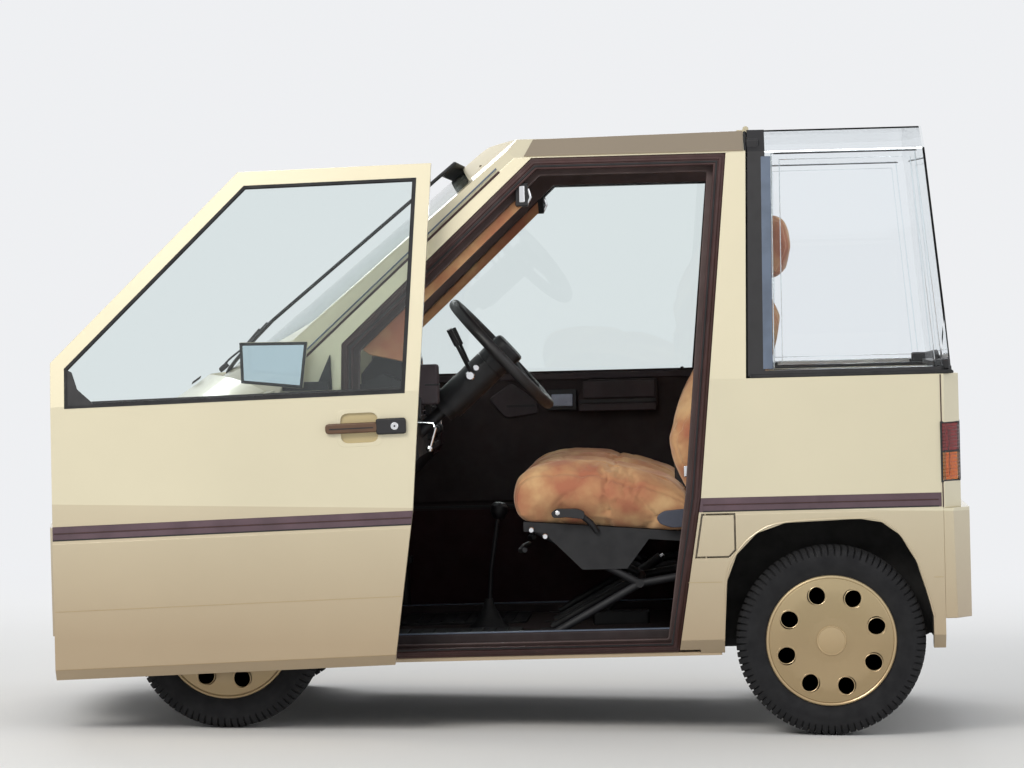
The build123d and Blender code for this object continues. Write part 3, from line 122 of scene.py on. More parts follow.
class Nodes:
    """A node tree and short ways to fill it."""

    def __init__(self, tree):
        self.tree = tree

    def put(self, socket, value):
        """Sets a socket to that value, or links it to that other socket."""
        if isinstance(value, bpy.types.NodeSocket):
            self.tree.links.new(value, socket)
        else:
            socket.default_value = value

    def feed(self, node, **inputs):
        for key, value in inputs.items():
            self.put(node.inputs[key.replace("_", " ")], value)

    def node(self, kind, **inputs):
        made = self.tree.nodes.new("ShaderNode" + kind)
        self.feed(made, **inputs)
        return made

    def math(self, operation, first, second):
        made = self.node("Math")
        made.operation = operation
        self.put(made.inputs[0], first)
        self.put(made.inputs[1], second)
        return made.outputs[0]

    def mixed(self, share, first, second):
        """Two shaders mixed by that share of the second."""
        made = self.node("MixShader", Fac=share)
        self.put(made.inputs[1], first.outputs[0])
        self.put(made.inputs[2], second.outputs[0])
        return made.outputs[0]


class Shader(Nodes):
    """A Principled material and short ways to vary it over the surface."""

    def __init__(self, name, colour, rough, **inputs):
        self.mat = bpy.data.materials.new(name)
        self.mat.use_nodes = True
        super().__init__(self.mat.node_tree)
        self.bsdf = self.tree.nodes["Principled BSDF"]
        self.colour = colour
        self.feed(self.bsdf, Base_Color=colour, Roughness=rough, **inputs)
        self.coord = self.node("TexCoord").outputs["Object"]
        self.height = None

    def noise(self, scale, detail=3.0):
        return self.node("TexNoise", Vector=self.coord, Scale=scale, Detail=detail).outputs["Fac"]

    def ramp(self, fac, stops):
        made = self.node("ValToRGB", Fac=fac)
        elements = made.color_ramp.elements
        while len(elements) < len(stops):
            elements.new(0.5)
        for element, (at, colour) in zip(elements, stops):
            element.position = at
            element.color = (*colour[:3], 1.0)
        return made.outputs["Color"]

    def mapped(self, value, start, end, low, high):
        """A value's range from start to end turned into one from low to high."""
        made = self.node("MapRange", Value=value, From_Min=start, From_Max=end, To_Min=low, To_Max=high)
        return made.outputs["Result"]

    def vary(self, scale, low, high):
        """Colour that drifts between low and high times the base colour."""
        dark = [c * low for c in self.colour[:3]]
        light = [min(1.0, c * high) for c in self.colour[:3]]
        self.feed(self.bsdf, Base_Color=self.ramp(self.noise(scale), [(0.35, dark), (0.65, light)]))

    def shade_lower_side(self, high, low, tint):
        """Painted shade: tints the colour darker step by step from one height in metres down to another, as if
        the lower side turned away from the light.
        """
        z = self.node("SeparateXYZ", Vector=self.coord).outputs["Z"]
        share = self.math("MULTIPLY", self.math("LESS_THAN", z, high), self.mapped(z, high, low, 0.38, 1.0))
        mix = self.node("Mix")
        mix.data_type = "RGBA"
        mix.blend_type = "MULTIPLY"
        base = self.bsdf.inputs["Base Color"].links[0].from_socket
        self.feed(mix, Factor=share, A=base, B=(*tint, 1.0))
        self.feed(self.bsdf, Base_Color=mix.outputs["Result"])

    def rough(self, scale, low, high):
        """Roughness that drifts between low and high."""
        self.feed(self.bsdf, Roughness=self.mapped(self.noise(scale, 2.0), 0.3, 0.7, low, high))

    def bump(self, fac, strength, distance):
        made = self.node("Bump", Strength=strength, Distance=distance, Height=fac)
        if self.height:
            self.feed(made, Normal=self.height)
        self.height = made.outputs["Normal"]
        self.feed(self.bsdf, Normal=self.height)


def paint_material(name, colour, rough, metallic, coat):
    s = Shader(name, colour, rough, Metallic=metallic, Coat_Weight=coat, Coat_Roughness=0.08)
    s.vary(2.2, 0.97, 1.02)
    # painted shade: the side darker and more golden below 0.6 m, where it turns down away from the light
    s.shade_lower_side(0.60, 0.24, (0.62, 0.52, 0.46))
    s.bump(s.noise(1400.0, 1.0), 0.05, 0.0002)
    s.bump(s.noise(9.0, 2.0), 0.03, 0.002)
    return s.mat


def plastic_material(name, colour, rough, grain, strength):
    s = Shader(name, colour, rough)
    s.vary(14.0, 0.85, 1.15)
    s.rough(30.0, rough - 0.06, rough + 0.08)
    s.bump(s.noise(grain, 2.0), strength, 0.0004)
    return s.mat


def glass_material(name, colour, rough, ior):
    s = Shader(name, colour, rough, Transmission_Weight=1.0, IOR=ior)
    s.bump(s.noise(3.0, 1.0), 0.02, 0.002)
    return s.mat


def metal_material(name, colour, rough, scale, low, high):
    """Bright metal whose roughness drifts between low and high."""
    s = Shader(name, colour, rough, Metallic=1.0)
    s.rough(scale, low, high)
    return s.mat


def suede_material(name, colour):
    s = Shader(name, colour, 0.92, Sheen_Weight=0.55, Sheen_Roughness=0.45)
    s.feed(s.bsdf, Sheen_Tint=(1.0, 0.80, 0.60, 1.0))
    patches = [(0.36, rgb(178, 112, 84)), (0.50, colour), (0.64, rgb(216, 176, 128))]
    s.feed(s.bsdf, Base_Color=s.ramp(s.noise(9.0, 4.0), patches))
    s.bump(s.noise(700.0, 3.0), 0.35, 0.0006)
    s.bump(s.noise(60.0, 4.0), 0.25, 0.002)
    return s.mat


def reflector_material():
    s = Shader("reflector", (0.85, 0.85, 0.85, 1.0), 0.25, Metallic=0.9)
    s.bump(s.noise(260.0, 1.0), 0.6, 0.002)
    return s.mat


# name, sRGB colour, roughness, metallic, coat
PAINTS = {
    "paint": ("gold_paint", (220, 211, 182), 0.34, 0.25, 0.6),
    "paint_roof": ("gold_paint_roof", (212, 202, 172), 0.62, 0.1, 0.0),
    # painted shade: a darker copy of the paint for the thin lines along the crease and the skirt's edge
    "paint_low": ("gold_paint_low", (214, 200, 158), 0.34, 0.25, 0.6),
    # painted shade: a darker copy of the paint for the floor of the handle's recess
    "recess": ("recess_gold", (196, 178, 132), 0.34, 0.25, 0.6),
    "wheel_paint": ("wheel_gold", (203, 190, 150), 0.36, 0.45, 0.35),
    # painted highlight: a lighter copy of the wheel paint for the cover's lip, cap and hole rings
    "wheel_bright": ("wheel_gold_bright", (226, 212, 170), 0.28, 0.5, 0.5),
    # painted shade over the roof rails' bevel: a darker copy of the paint, which the sill rail also uses
    "bronze": ("bronze_rail", (150, 136, 116), 0.3, 0.5, 0.4),
}
# name, sRGB colour, roughness, grain's scale, grain's strength
PLASTICS = {
    "strip": ("strip_rubber", (88, 68, 76), 0.55, 700.0, 0.25),
    "seal": ("brown_seal", (58, 30, 28), 0.6, 500.0, 0.15),
    "black": ("black_plastic", (20, 19, 22), 0.5, 900.0, 0.25),
    "rubber": ("black_rubber", (22, 22, 24), 0.68, 350.0, 0.3),
    "tyre": ("tyre_rubber", (15, 15, 18), 0.88, 300.0, 0.35),
    "underseal": ("underseal", (30, 29, 28), 0.85, 160.0, 0.9),
    "steel": ("satin_black_steel", (15, 15, 19), 0.6, 600.0, 0.1),
    "carpet": ("dark_carpet", (38, 22, 20), 0.95, 260.0, 1.0),
    "carpet_red": ("brown_carpet", (46, 22, 24), 0.95, 300.0, 1.0),
    "trim_brown": ("brown_lining", (36, 23, 24), 0.7, 420.0, 0.4),
    "frame_brown": ("frame_brown", (84, 68, 66), 0.65, 500.0, 0.2),
    "headliner": ("headliner", (96, 84, 78), 0.9, 380.0, 0.5),
    "pad_grey": ("warm_grey_pad", (52, 42, 46), 0.6, 600.0, 0.25),
    "band_grey": ("band_grey", (92, 104, 122), 0.4, 600.0, 0.1),
    "cover_grey": ("recliner_grey", (66, 70, 84), 0.5, 700.0, 0.15),
    "pull": ("silver_pull", (150, 158, 178), 0.3, 800.0, 0.05),
    "handle": ("bronze_handle", (92, 66, 46), 0.35, 800.0, 0.08),
    "leather": ("black_leather", (30, 28, 29), 0.45, 260.0, 0.3),
    "webbing": ("belt_webbing", (30, 28, 30), 0.7, 900.0, 0.6),
    "white": ("white_plastic", (225, 225, 222), 0.4, 600.0, 0.1),
    "dial": ("dial_glass", (14, 15, 18), 0.12, 600.0, 0.02),
}
# name, linear colour, roughness, index of refraction
GLASSES = {
    "glass": ("tinted_glass", (0.80, 0.87, 0.86, 1.0), 0.0, 1.45),
    "screen": ("screen_glass", (0.86, 0.92, 0.91, 1.0), 0.0, 1.45),
    "acrylic": ("clear_acrylic", (0.95, 0.97, 0.98, 1.0), 0.0, 1.3),
    "acrylic_edge": ("acrylic_edge", (0.9, 0.95, 0.97, 1.0), 0.12, 1.45),
    "lamp_clear": ("lamp_clear", (0.95, 0.95, 0.93, 1.0), 0.04, 1.45),
    "lamp_red": ("lamp_red", (0.55, 0.03, 0.03, 1.0), 0.06, 1.45),
    "amber": ("amber_lens", (0.95, 0.42, 0.08, 1.0), 0.08, 1.45),
}

M = {}
for make, table in ((paint_material, PAINTS), (plastic_material, PLASTICS)):
    for key, (name, colour, *numbers) in table.items():
        M[key] = make(name, rgb(*colour), *numbers)
for key, values in GLASSES.items():
    M[key] = glass_material(*values)
M["chrome"] = metal_material("chrome", (0.75, 0.75, 0.76, 1.0), 0.12, 40.0, 0.08, 0.2)
M["mirror"] = metal_material("mirror_glass", (0.72, 0.8, 0.88, 1.0), 0.02, 6.0, 0.01, 0.03)
M["suede"] = suede_material("tan_suede", rgb(194, 142, 102))
M["reflector"] = reflector_material()

# Dressing the solids

# the material of each slot in the record
SLOT_OF = {"paint": "paint", "wheel_paint": "wheel_paint", "underseal": "underseal", "dark_steel": "steel",
           "strip": "strip", "lining": "trim_brown", "handle": "strip", "black_plastic": "black",
           "glass": "glass", "acrylic": "acrylic", "lamp_clear": "lamp_clear", "lamp_red": "lamp_red",
           "suede": "suede", "tyre": "tyre"}
SOFT_EDGE = {"paint": 2.0, "wheel_paint": 1.0, "strip": 1.0, "black_plastic": 1.5, "lining": 1.5}
CURVED = ("roof", "hood", "windscreen", "cowl", "wheel_", "canopy")
FLAT_ANGLE, CURVED_ANGLE = 4, 12


def dress(obj, material):
    obj.data.materials.clear()
    obj.data.materials.append(M[material])


def smooth_group(angle):
    """A node group that joins the faces of a CAD mesh and shades it smooth under that angle."""
    group = bpy.data.node_groups.new("smooth_under_%d" % angle, "GeometryNodeTree")
    group.interface.new_socket("Geometry", in_out="INPUT", socket_type="NodeSocketGeometry")
    group.interface.new_socket("Geometry", in_out="OUTPUT", socket_type="NodeSocketGeometry")
    new, link = group.nodes.new, group.links.new
    start, end = new("NodeGroupInput"), new("NodeGroupOutput")
    weld, drop = new("GeometryNodeMergeByDistance"), new("GeometryNodeRemoveAttribute")
    smooth, sharp = new("GeometryNodeSetShadeSmooth"), new("GeometryNodeSetShadeSmooth")
    edge, over = new("GeometryNodeInputMeshEdgeAngle"), new("FunctionNodeCompare")
    weld.inputs["Distance"].default_value = 0.00002
    drop.inputs["Name"].default_value = "custom_normal"
    sharp.domain = "EDGE"
    sharp.inputs["Shade Smooth"].default_value = False
    over.operation = "GREATER_THAN"
    over.inputs[1].default_value = radians(angle)
    link(edge.outputs["Unsigned Angle"], over.inputs[0])
    link(over.outputs["Result"], sharp.inputs["Selection"])
    chain = [start, weld, drop, smooth, sharp, end]
    for a, b in zip(chain, chain[1:]):
        link(a.outputs[0], b.inputs[0])
    return group


SMOOTH = {angle: smooth_group(angle) for angle in (FLAT_ANGLE, CURVED_ANGLE)}


def soften(node, width, angle):
    """Shades a CAD node cleanly and rounds its sharp edges by that many millimetres."""
    node.modifiers.new("shading", "NODES").node_group = SMOOTH[angle]
    bevel = node.modifiers.new("soft_edges", "BEVEL")
    bevel.width = width / 1000
    bevel.segments = 2
    bevel.limit_method = "ANGLE"
    bevel.angle_limit = radians(28)
    even = node.modifiers.new("even_shading", "WEIGHTED_NORMAL")
    even.weight = 100
    even.keep_sharp = True


for part in frame["record"]["subparts"]:
    name, slot = part["node"], part["material_slot"]
    dress(NODES[name], SLOT_OF[slot])
    if slot in SOFT_EDGE:
        soften(NODES[name], SOFT_EDGE[slot], CURVED_ANGLE if name.startswith(CURVED) else FLAT_ANGLE)
dress(NODES["roof"], "paint_roof")
dress(NODES["windscreen"], "screen")
dress(NODES["mirror_glasses"], "mirror")

# Making pieces

FORWARD, BACKWARD, OUTWARD, UPWARD = (1, 0, 0), (-1, 0, 0), (0, 1, 0), (0, 0, 1)
TIP = 0.1


def mesh_piece(name, verts, faces, material, body="body", matrix=PLACE, angle=35, slot=None, edge=0.0,
               segments=2):
    """A piece of those faces that rides on a body; edge rounds its edges by that many millimetres."""
    mesh = bpy.data.meshes.new(name)
    mesh.from_pydata([matrix @ Vector(v) for v in verts], [], faces)
    bm = bmesh.new()
    bm.from_mesh(mesh)
    bmesh.ops.recalc_face_normals(bm, faces=bm.faces)
    bm.to_mesh(mesh)
    bm.free()
    obj = bpy.data.objects.new(name, mesh)
    bpy.context.scene.collection.objects.link(obj)
    mesh.materials.append(M[material])
    mesh.polygons.foreach_set("use_smooth", [True] * len(mesh.polygons))
    mesh.set_sharp_from_angle(angle=radians(angle))
    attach(obj, body)
    if edge:
        mod = obj.modifiers.new("bevel", "BEVEL")
        mod.width = edge / 1000
        mod.segments = segments
        mod.limit_method = "ANGLE"
        mod.angle_limit = radians(30)
        mod.harden_normals = True
    return obj


def band_faces(rows, count, closed=False):
    """The four-sided faces between rows of count points each, whose points run round."""
    pairs = [(r, (r + 1) % rows) for r in range(rows if closed else rows - 1)]
    return [(a * count + k, a * count + (k + 1) % count, b * count + (k + 1) % count, b * count + k)
            for a, b in pairs for k in range(count)]


def end_faces(rows, count):
    return [tuple(range(count)), tuple(range((rows - 1) * count, rows * count))]


def slab(name, lower, upper, material, **kw):
    """A closed solid between two outlines of equal length, given as 3-D points."""
    n = len(lower)
    faces = [tuple(range(n)), tuple(range(2 * n - 1, n - 1, -1))] + band_faces(2, n)
    return mesh_piece(name, list(lower) + list(upper), faces, material, **kw)


def plate(name, points, move, material, **kw):
    """A solid between an outline and the same outline moved."""
    dx, dy, dz = move
    return slab(name, points, [(x + dx, y + dy, z + dz) for x, y, z in points], material, **kw)


def box(name, x0, x1, y0, y1, z0, z1, material, edge=3.0, **kw):
    low = [(x0, y0, z0), (x1, y0, z0), (x1, y1, z0), (x0, y1, z0)]
    return slab(name, low, [(x, y, z1) for x, y, _ in low], material, edge=edge, **kw)


def on_side(points, proud):
    """Side-view points on the body's side, that much outside it."""
    return [(x, side_y(z) + proud, z) for x, z in points]


def side_plate(name, outline, proud, deep, material, **kw):
    return slab(name, on_side(outline, -deep), on_side(outline, proud), material, **kw)


def side_ring(name, outer, inner, proud, deep, material, **kw):
    """A ring between two outlines of equal length, lying on the body's side."""
    rows = [on_side(outer, -deep), on_side(outer, proud), on_side(inner, proud), on_side(inner, -deep)]
    verts = [p for row in rows for p in row]
    return mesh_piece(name, verts, band_faces(4, len(outer), True), material, **kw)


def side_bar(name, x0, x1, style, **kw):
    """A thin level line that stands a little out of the body's side."""
    z, wide, proud, material = style
    return side_plate(name, rect(x0, x1, z - wide / 2, z + wide / 2), proud, 1.0, material, **kw)


def inside(name, outline, deep, thick, material, edge=2.0, **kw):
    """A plate on the inner side of a door or wall, its back that deep from the outer face."""
    return slab(name, on_side(outline, -deep - thick), on_side(outline, -deep), material, edge=edge, **kw)


def ring_points(centre, normal, radius, count):
    normal = Vector(normal).normalized()
    u = normal.orthogonal().normalized()
    v = normal.cross(u)
    angles = [2 * pi * k / count for k in range(count)]
    return [Vector(centre) + (u * cos(a) + v * sin(a)) * radius for a in angles]


def smooth_path(points, steps=8):
    """A smooth curve through the points."""
    p = [Vector(q) for q in points]
    p = [p[0] * 2 - p[1]] + p + [p[-1] * 2 - p[-2]]
    out = []
    for i in range(1, len(p) - 2):
        a, b, c, d = p[i - 1:i + 3]
        for k in range(steps):
            t = k / steps
            out.append(0.5 * ((2 * b) + (c - a) * t + (2 * a - 5 * b + 4 * c - d) * t * t
                              + (3 * b - a - 3 * c + d) * t ** 3))
    out.append(p[-2])
    return out


def tube(name, points, radius, material, sides=12, closed=False, flatten=None, **kw):
    """A round bar along a path. flatten = (axis, share) squeezes its section along that axis."""
    pts = [Vector(q) for q in points]
    n = len(pts)
    verts = []
    up = None
    for i, p in enumerate(pts):
        a = pts[i - 1] if (i or closed) else p
        b = pts[(i + 1) % n] if (i < n - 1 or closed) else p
        tangent = (b - a).normalized()
        if up is None:
            up = tangent.orthogonal().normalized()
        up = (up - tangent * up.dot(tangent)).normalized()
        side = tangent.cross(up)
        for k in range(sides):
            w = 2 * pi * k / sides
            offset = (up * cos(w) + side * sin(w)) * radius
            if flatten:
                axis = Vector(flatten[0]).normalized()
                offset -= axis * offset.dot(axis) * (1 - flatten[1])
            verts.append(p + offset)
    faces = band_faces(n, sides, closed)
    if not closed:
        faces += end_faces(n, sides)
    return mesh_piece(name, verts, faces, material, **kw)


def turned(name, profile, centre, axis, material, count=64, **kw):
    """A profile of (along, radius) spun about an axis through centre."""
    axis = Vector(axis).normalized()
    verts = []
    for along, radius in profile:
        verts += ring_points(Vector(centre) + axis * along, axis, radius, count)
    faces = band_faces(len(profile), count) + end_faces(len(profile), count)
    return mesh_piece(name, verts, faces, material, **kw)


class Maker:
    """Makes pieces in one place: ends their names and passes its matrix and body on."""

    def __init__(self, ending, matrix=PLACE, body="body"):
        self.ending = ending
        self.given = {"matrix": matrix, "body": body}

    def __call__(self, make, name, *shape, **kw):
        return make(name + self.ending, *shape, **{**self.given, **kw})

    def each(self, make, rows, **kw):
        """One piece for each row, which starts with its name."""
        return [self(make, *row, **kw) for row in rows]


CAR = Maker("")
LEFT, RIGHT = Maker("_left", PLACE), Maker("_right", MIRRORED)
SIDES = (LEFT, RIGHT)

# Soft seats

SEAT_Y = 345.0
SEAT_WIDTH = 480.0
HEADREST_HALF = 130.0
BOLSTER_Y = 152.0
SEAT_FLOOR = [(345.0, 541.0), (826.0, 581.0)]
CUSHION_TOP = [(838.0, 600.0), (846.0, 660.0), (832.0, 724.0), (790.0, 754.0), (700.0, 762.0), (600.0, 755.0),
               (470.0, 712.0), (400.0, 680.0), (350.0, 650.0), (338.0, 600.0)]
BACK_OUTLINE = [(300.0, 575.0), (345.0, 640.0), (398.0, 725.0), (411.0, 789.0), (385.0, 855.0), (321.0, 969.0),
                (262.0, 1085.0), (222.0, 1165.0), (196.0, 1190.0), (165.0, 1198.0), (125.0, 1193.0),
                (106.0, 1170.0), (135.0, 1034.0), (170.0, 915.0), (205.0, 800.0), (255.0, 640.0)]
HEAD_OUTLINE = [(98.0, 1216.0), (135.0, 1208.0), (168.0, 1212.0), (180.0, 1290.0), (166.0, 1366.0),
                (120.0, 1396.0), (78.0, 1378.0), (62.0, 1300.0)]
SWELL = 0.012
SINK = 0.19
VOXEL = 0.006
CAPS = {"cushion": 0.024, "back": 0.024, "head": 0.022}
KEPT_SHARE = 0.45
SEAM_LIMIT = 9.0


def seat_floor(x):
    (x0, z0), (x1, z1) = SEAT_FLOOR
    return z0 + (z1 - z0) * (x - x0) / (x1 - x0)


def pad_form(name, outline_at, half, count=13):
    """A closed form through side-view outlines that change with the distance from the seat's middle."""
    verts = []
    for k in range(count):
        share = -1 + 2 * k / (count - 1)
        outline = outline_at(share)
        verts += [(x, SEAT_Y + share * half, z) for x, z in outline]
    n = len(outline)
    return mesh_piece(name, verts, band_faces(count, n) + end_faces(count, n), "suede")


def cushion_at(share):
    """The cushion's outline: dished between its bolsters, and drawn in towards its sides."""
    side = abs(share) * SEAT_WIDTH / 2
    dish = 20.0 * max(0.0, 1 - (side / BOLSTER_Y) ** 4)
    draw = 16.0 * max(0.0, abs(share) - 0.86) / 0.14
    top = [(x, z - dish * (z > 700) - draw * (z > 640) - SINK * (z - 600)) for x, z in CUSHION_TOP]
    return inset(rounded(SEAT_FLOOR + top, 18, 2), SWELL * 1000 * 0.55 + draw * 0.4)


def back_at(share):
    side = abs(share) * SEAT_WIDTH / 2
    dish = 18.0 * max(0.0, 1 - (side / BOLSTER_Y) ** 4)
    draw = 14.0 * max(0.0, abs(share) - 0.86) / 0.14
    points = []
    for i, (x, z) in enumerate(BACK_OUTLINE):
        front = 1 <= i <= 7
        drop = max(0.0, z - 1010) * 0.5 * max(0.0, abs(share) - 0.7) / 0.3
        points.append((x - (dish + draw) * front * 0.95, z - drop))
    return inset(rounded(points, 16, 2), SWELL * 1000 * 0.55 + draw * 0.4)


def head_at(share):
    draw = 16.0 * max(0.0, abs(share) - 0.75) / 0.25
    return inset(rounded(HEAD_OUTLINE, 12, 2), 6 + draw)


def remeshed(obj, size):
    mod = obj.modifiers.new("remesh", "REMESH")
    mod.mode = "VOXEL"
    mod.voxel_size = size
    apply_all(obj)


def apply_all(obj):
    """Keeps what the modifiers make of the mesh, and drops the modifiers."""
    graph = bpy.context.evaluated_depsgraph_get()
    graph.update()
    made = bpy.data.meshes.new_from_object(obj.evaluated_get(graph), depsgraph=graph)
    old, name = obj.data, obj.data.name
    obj.modifiers.clear()
    obj.data = made
    bpy.data.meshes.remove(old)
    made.name = name


def inflate(pads):
    """Swells each pad as cloth under pressure, and caps how far a point may move."""
    scene = bpy.context.scene
    starts = {}
    for obj, _ in pads:
        remeshed(obj, VOXEL)
        starts[obj.name] = [v.co.copy() for v in obj.data.vertices]
        cloth = obj.modifiers.new("cloth", "CLOTH")
        cloth.settings.use_pressure = True
        cloth.settings.uniform_pressure_force = 4.0
        cloth.settings.effector_weights.gravity = 0.0
    for number in range(1, 21):
        scene.frame_set(number)
    for obj, cap in pads:
        apply_all(obj)
        for v, was in zip(obj.data.vertices, starts[obj.name]):
            step = v.co - was
            if step.length > cap:
                v.co = was + step * (cap / step.length)
    scene.frame_set(1)


def finish_pad(obj, seams, flat_below=None):
    """Flattens the pad where it rests, subdivides it and presses its seams in."""
    back = PLACE.inverted()
    for v in obj.data.vertices:
        p = back @ v.co
        if flat_below and p.z < flat_below(p.x):
            p.z = flat_below(p.x)
            v.co = PLACE @ p
    sub = obj.modifiers.new("smooth", "SUBSURF")
    sub.levels = sub.render_levels = 1
    apply_all(obj)
    mesh = obj.data
    normals = [n.vector.copy() for n in mesh.vertex_normals]
    for v, n in zip(mesh.vertices, normals):
        p = back @ v.co
        depth = sum(seam(p, n) for seam in seams)
        if depth > 0.01:
            v.co -= n * min(depth, SEAM_LIMIT) / 1000
    thin = obj.modifiers.new("thin", "DECIMATE")
    thin.ratio = KEPT_SHARE
    apply_all(obj)
    mesh = obj.data
    mesh.polygons.foreach_set("use_smooth", [True] * len(mesh.polygons))
    mesh.materials.clear()
    mesh.materials.append(M["suede"])


def crease(distance, deep=5.0, wide=6.0):
    return deep * 2.718 ** (-(distance / wide) ** 2)


def side_seams(p, n):
    """The two seams between the middle panel and the bolsters."""
    return crease(abs(abs(p.y - SEAT_Y) - BOLSTER_Y)) if n.z + n.x > 0.2 else 0.0


def across_seam(at, axis):
    """A seam across the middle panel, where p[axis] passes that value."""
    def seam(p, n):
        return crease(p[axis] - at, 4.0) if abs(p.y - SEAT_Y) < BOLSTER_Y and n.z + n.x > 0.3 else 0.0
    return seam


def border_seam(p, n):
    """The seam that joins a side panel to the top, just inside the pad's side."""
    return crease(abs(p.y - SEAT_Y) - (SEAT_WIDTH / 2 - 14), 4.0, 5.0) if n.z + n.x > 0.0 else 0.0


def head_seam(p, n):
    """The seam that joins a side panel to the headrest's front."""
    return crease(abs(p.y - SEAT_Y) - 112, 3.5, 5.0)


def twin(obj, name):
    """The same pad on the other side of the car."""
    mesh = obj.data.copy()
    flip = PLACE @ Matrix.Scale(-1, 4, (0, 1, 0)) @ PLACE.inverted()
    mesh.transform(flip)
    mesh.flip_normals()
    copy = bpy.data.objects.new(name, mesh)
    bpy.context.scene.collection.objects.link(copy)
    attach(copy, "body")
    return copy


def build_seats():
    cushion = pad_form("seat_cushion_left", cushion_at, SEAT_WIDTH / 2)
    back = pad_form("seat_back_left", back_at, SEAT_WIDTH / 2)
    head = pad_form("headrest_left", head_at, HEADREST_HALF)
    inflate([(cushion, CAPS["cushion"]), (back, CAPS["back"]), (head, CAPS["head"])])
    finish_pad(cushion, [side_seams, border_seam] + [across_seam(x, 0) for x in (705.0, 560.0)], seat_floor)
    finish_pad(back, [side_seams, border_seam] + [across_seam(z, 2) for z in (820.0, 930.0, 1050.0)])
    finish_pad(head, [head_seam])
    for obj in (cushion, back, head):
        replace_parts(obj, "seat_left")
        copy = twin(obj, obj.name.replace("left", "right"))
        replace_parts(copy, "seat_right")
    for side, matrix in (("left", PLACE), ("right", MIRRORED)):
        for k, y in enumerate((SEAT_Y - 65, SEAT_Y + 65)):
            tube(f"headrest_post_{side}_{k}", [(138, y, 1165), (132, y, 1228)], 6.5, "chrome", matrix=matrix)


# Wheels

TREAD_BLOCKS = 84
TREAD_DEPTH = 6.5
TREAD_SKEW = 0.25
HOLE_RING, HOLE_RADIUS = 125.0, 24.4
# distance from the tyre's middle plane, radius, share of the tread's depth
TYRE_PROFILE = [(-46, 156, 0), (-58, 160, 0), (-60, 171, 0), (-65, 180, 0), (-71.5, 198, 0),
                (-72.5, 209, 0), (-72, 214, 0), (-72.4, 216, 0), (-71, 226, 0.25), (-68.5, 236, 1),
                (-62, 244.5, 1), (-54, 249, 1), (-47, 250.5, 1), (-40, 251, 1), (-38, 244, 0),
                (-33, 244, 0), (-31, 251.6, 1), (-15, 252, 1), (-12, 252, 1), (-10, 245, 0), (-4, 245, 0),
                (-2, 252, 1)]


def wheel_maker(place):
    """A maker for that wheel, whose millimetres start at its centre, and its outward axis."""
    matrix = Matrix.Translation(middle("tyre_" + place)) @ Matrix.Scale(0.001, 4)
    return Maker("_" + place, matrix, "wheel_" + place), (1 if place.endswith("left") else -1)


def build_tyre(place):
    """A tyre with radial shoulder grooves, tread ribs and rings moulded on its sidewall."""
    wheel, side = wheel_maker(place)
    profile = TYRE_PROFILE + [(-y, r, g) for y, r, g in reversed(TYRE_PROFILE)]
    steps = ((0.0, 1), (0.16, 1), (0.24, 0), (0.92, 0))
    verts = []
    for y, r, groove in profile:
        for block in range(TREAD_BLOCKS):
            for share, cut in steps:
                a = 2 * pi * (block + share + TREAD_SKEW * (y / 72) * side) / TREAD_BLOCKS
                rr = r - TREAD_DEPTH * groove * cut
                yy = y * (1 - 0.035 * (groove > 0.5) * cut)
                verts.append((rr * cos(a), yy, rr * sin(a)))
    faces = band_faces(len(profile), TREAD_BLOCKS * len(steps), True)
    tyre = wheel(mesh_piece, "tread", verts, faces, "tyre", angle=30)
    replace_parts(tyre, "tyre_" + place)


def build_cover(place):
    """What the wheel cover has besides its disc: lip, cap and rings round its holes in a lighter copy of the
    wheel paint, a painted highlight, and the dark wheel.
    """
    wheel, side = wheel_maker(place)
    axis = (0, side, 0)
    lip = [(60, 166), (66.4, 166), (67.4, 168.5), (66.6, 171.5), (63, 173.6), (60, 173.6)]
    wheel(turned, "cover_lip", lip, (0, 0, 0), axis, "wheel_bright", 96, slot="wheel_paint")
    cap = [(65.5, 40), (67.2, 39.6), (68.2, 38.6), (68.2, 36.4), (67.2, 35.4), (67.6, 33), (68.6, 20),
           (69, TIP)]
    wheel(turned, "cover_cap", cap, (0, 0, 0), axis, "wheel_bright", 64, slot="wheel_paint")
    disc = [(44, 154), (58, 154), (58, 62), (44, 62)]
    wheel(turned, "wheel_dark", disc, (0, 0, 0), axis, "black", 64, slot="black_plastic")
    for k in range(8):
        a = radians(17.9 + 45 * k)
        hub = Vector((HOLE_RING * sin(a) * side, 69.0 * side, HOLE_RING * cos(a)))
        hole = Maker(f"_{place}_{k}", **wheel.given)
        ring = ring_points(hub, axis, HOLE_RADIUS, 28)
        hole(tube, "cover_hole", ring, 1.3, "wheel_bright", 8, True, slot="wheel_paint")


# Doors and doorway

DOOR = [(398, 234), (1290, 234), (1266, 1068), (754, 1547), (244, 1547), (332, 638)]
DOORS = (Maker("_left", OPENED), RIGHT)
WINDOW_FRAME, WINDOW_LOW = 40.0, 950.0
RECESS = (411.0, 513.0, 820.0, 902.0)
STRIP_Z = (601.0, 638.0)
CREASE_Z = 415.0
FLOOR_Z = 255.0
LINING_DEEP = 46.0
# level height, width, how far it stands out, material
GROOVE = (620, 3.0, 1.2, "seal")
STRIP_FOOT = (STRIP_Z[0] + 1.5, 3.0, 1.2, "black")
# painted shade: the crease and skirt lines are thin strips of darker paint where the side bends
CREASE = (CREASE_Z, 1.6, 0.8, "paint_low")
SKIRT_LINE = (262, 1.4, 0.8, "paint_low")


def rect(x0, x1, z0, z1):
    return [(x0, z0), (x1, z0), (x1, z1), (x0, z1)]


def between(a, b, share):
    return tuple(p + (q - p) * share for p, q in zip(a, b))


